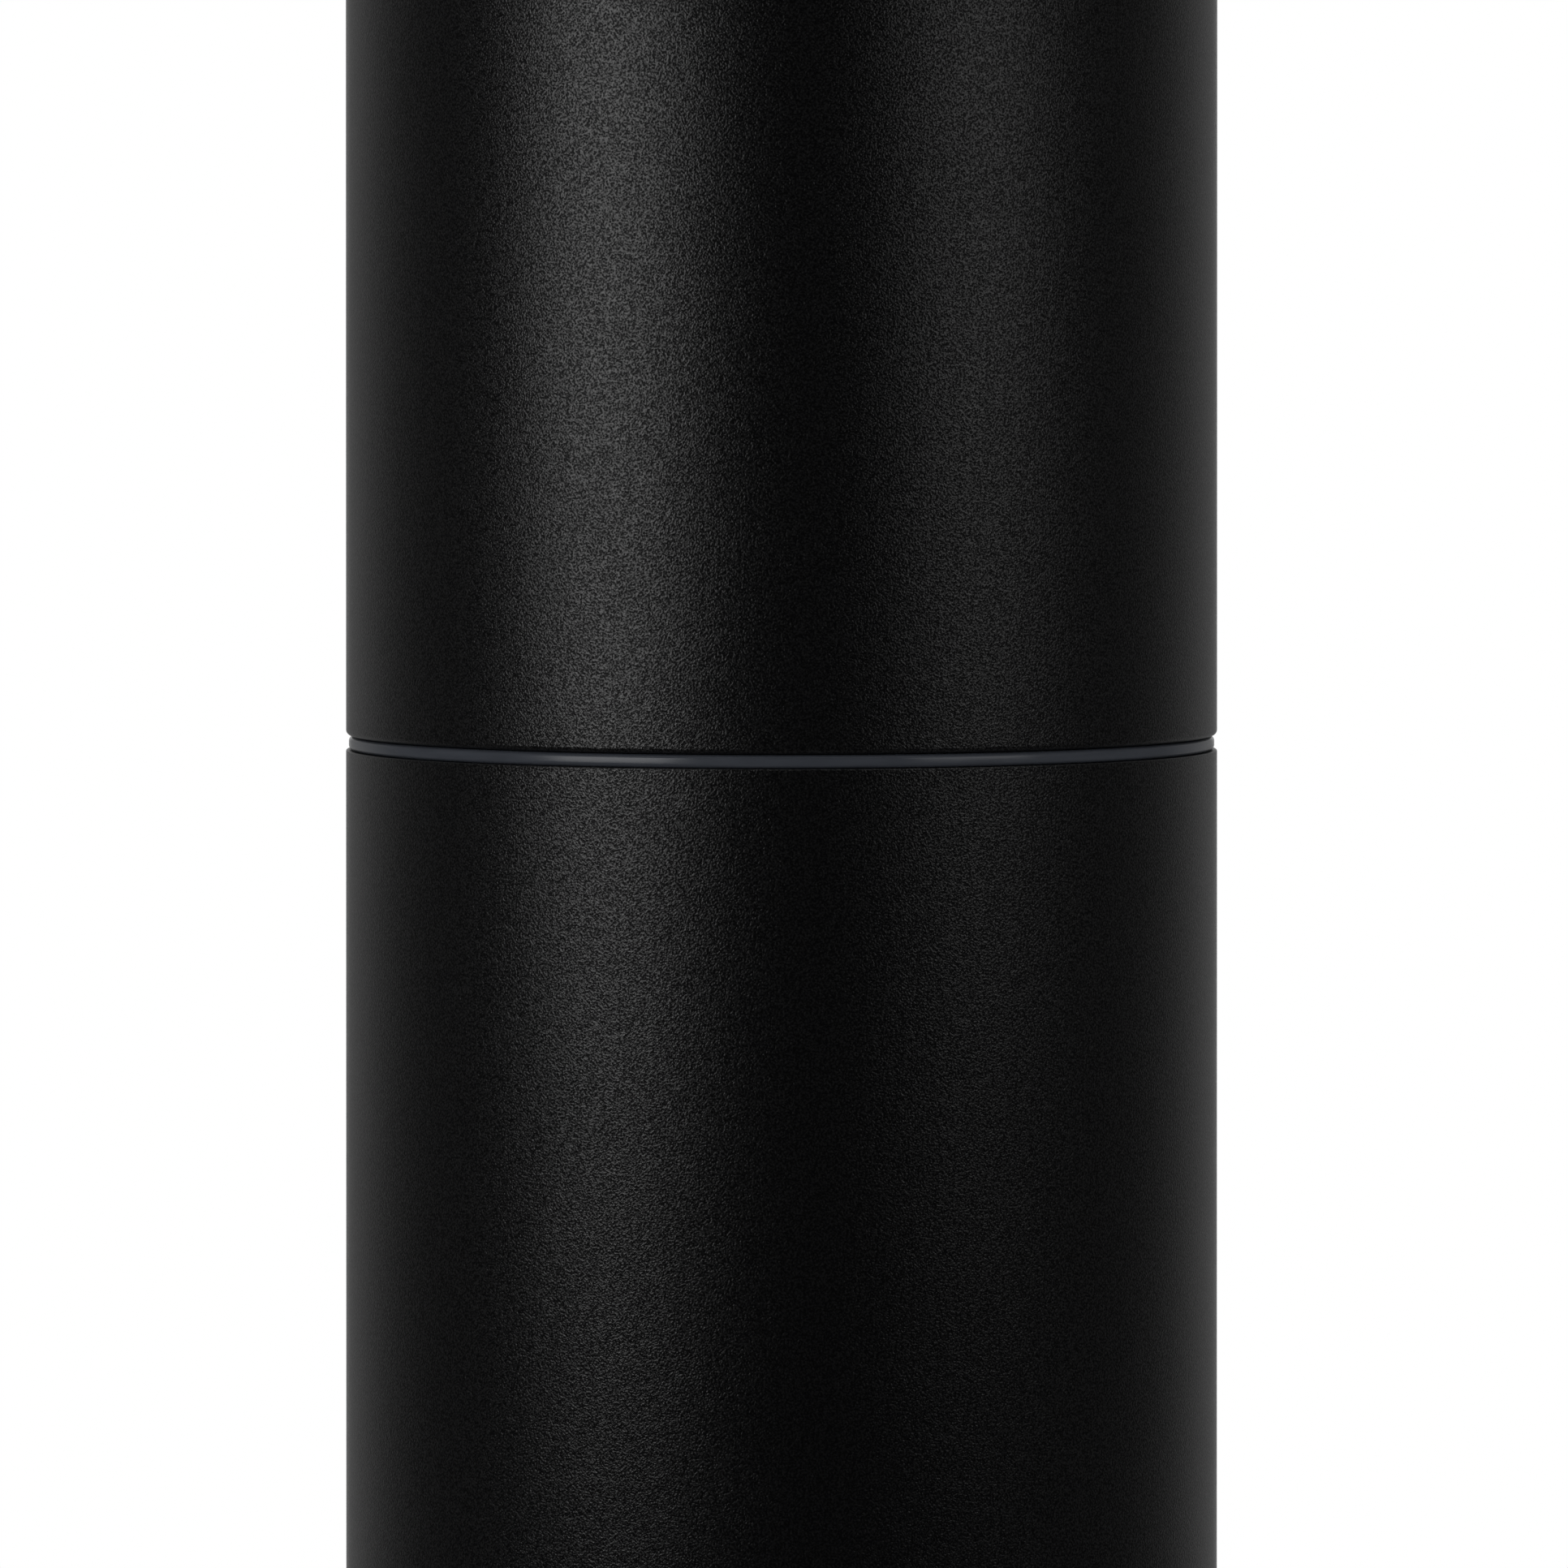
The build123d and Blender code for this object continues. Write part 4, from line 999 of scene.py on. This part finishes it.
    def backdrop(self, studio):
        """White to the camera and through clear pieces.

        The mill mirrors that white straight behind it, a dim surround around it and a dark room in front.
        """
        world = bpy.data.worlds.new("Studio")
        bpy.context.scene.world = world
        world.use_nodes = True
        tree = world.node_tree
        tree.nodes.clear()
        way = add(tree, "SeparateXYZ", {"Vector": add(tree, "TexCoord").outputs["Generated"]}).outputs
        walls = self.tone(tree, way["Y"], self.FILL_TO_SIDE, studio.fill, studio.side)
        screen = self.tone(tree, way["Y"], self.SIDE_TO_SURROUND, walls, studio.surround)
        ground = self.tone(tree, way["Z"], self.LEVEL_TO_GROUND, 0.0, studio.ground)
        sheet = self.tone(tree, way["Y"], self.SURROUND_TO_WHITE, 0.0, 1.0)
        ray = add(tree, "LightPath").outputs
        room = add(tree, "Math", {0: screen, 1: ground}, operation="MAXIMUM").outputs[0]
        lit = add(tree, "Math", {0: ray["Is Diffuse Ray"], 1: studio.ambient, 2: room}, operation="MULTIPLY_ADD")
        mirrored = add(tree, "Math", {0: ray["Is Glossy Ray"], 1: sheet}, operation="MULTIPLY").outputs[0]
        beyond = add(tree, "Math", {0: ray["Is Transmission Ray"], 1: mirrored}, operation="MAXIMUM").outputs[0]
        seen = add(tree, "Math", {0: ray["Is Camera Ray"], 1: beyond}, operation="MAXIMUM").outputs[0]
        level = add(tree, "Math", {0: seen, 1: lit.outputs[0]}, operation="MAXIMUM").outputs[0]
        white = add(tree, "Background", {"Color": (1, 1, 1, 1), "Strength": level})
        add(tree, "OutputWorld", {"Surface": white.outputs[0]})

    def camera(self, studio):
        """Camera that looks slightly down, at a picture of a set width."""
        lens = bpy.data.cameras.new("camera")
        lens.sensor_width = self.SENSOR
        lens.lens = lens.sensor_width * studio.camera_distance / studio.picture_width
        lens.clip_start = studio.camera_distance * self.NEAREST
        lens.clip_end = studio.camera_distance * self.FARTHEST
        camera = bpy.data.objects.new("camera", lens)
        back = Vector((0, -math.cos(studio.camera_height), math.sin(studio.camera_height)))
        middle = Vector((studio.picture_aside, 0, studio.picture_middle))
        camera.location = middle + back * studio.camera_distance
        camera.rotation_euler = (-back).to_track_quat("-Z", "Y").to_euler()
        bpy.context.scene.collection.objects.link(camera)
        bpy.context.scene.camera = camera

    def execute(self, context):
        studio = context.scene.mill_studio
        context.scene.view_settings.view_transform = "Standard"
        self.floor()
        self.softbox("left_softbox", studio.left_power, **self.LEFT_BOX)
        self.softbox("right_softbox", studio.right_power, **self.RIGHT_BOX)
        self.softbox("top_softbox", studio.top_power, **self.TOP_BOX)
        under = self.softbox("under_softbox", studio.under_power, **self.UNDER_BOX)
        # The rims mirror no lamp from below, so that the head's rounded rim stays black
        under.visible_glossy = False
        self.backdrop(studio)
        self.camera(studio)
        return {"FINISHED"}


OPERATORS = (
    MILL_OT_shells,
    MILL_OT_seam_ring,
    MILL_OT_neck,
    MILL_OT_hopper,
    MILL_OT_mouldings,
    MILL_OT_rubber,
    MILL_OT_burrs,
    MILL_OT_bridge,
    MILL_OT_drive,
    MILL_OT_burr_spring,
    MILL_OT_adjuster_nut,
    MILL_OT_stage,
)


class MILL_PT_panel(bpy.types.Panel):
    """Sidebar panel with the mill's settings and its steps in order"""

    bl_idname = "MILL_PT_panel"
    bl_label = "Pepper Mill"
    bl_space_type = "VIEW_3D"
    bl_region_type = "UI"
    bl_category = "Mill"

    def draw(self, context):
        for group in (context.scene.mill_sizes, context.scene.mill_colours, context.scene.mill_studio):
            box = self.layout.box()
            for name in group.__annotations__:
                box.prop(group, name)
        for operator in OPERATORS:
            self.layout.operator(operator.bl_idname)


CLASSES = (MillSizes, MillColours, MillStudio, *OPERATORS, MILL_PT_panel)


def register():
    for each in CLASSES:
        bpy.utils.register_class(each)
    bpy.types.Scene.mill_sizes = PointerProperty(type=MillSizes)
    bpy.types.Scene.mill_colours = PointerProperty(type=MillColours)
    bpy.types.Scene.mill_studio = PointerProperty(type=MillStudio)


def unregister():
    del bpy.types.Scene.mill_studio
    del bpy.types.Scene.mill_colours
    del bpy.types.Scene.mill_sizes
    for each in reversed(CLASSES):
        bpy.utils.unregister_class(each)


def main():
    register()
    for operator in OPERATORS:
        group, name = operator.bl_idname.split(".")
        getattr(getattr(bpy.ops, group), name)()


if __name__ == "__main__":
    main()
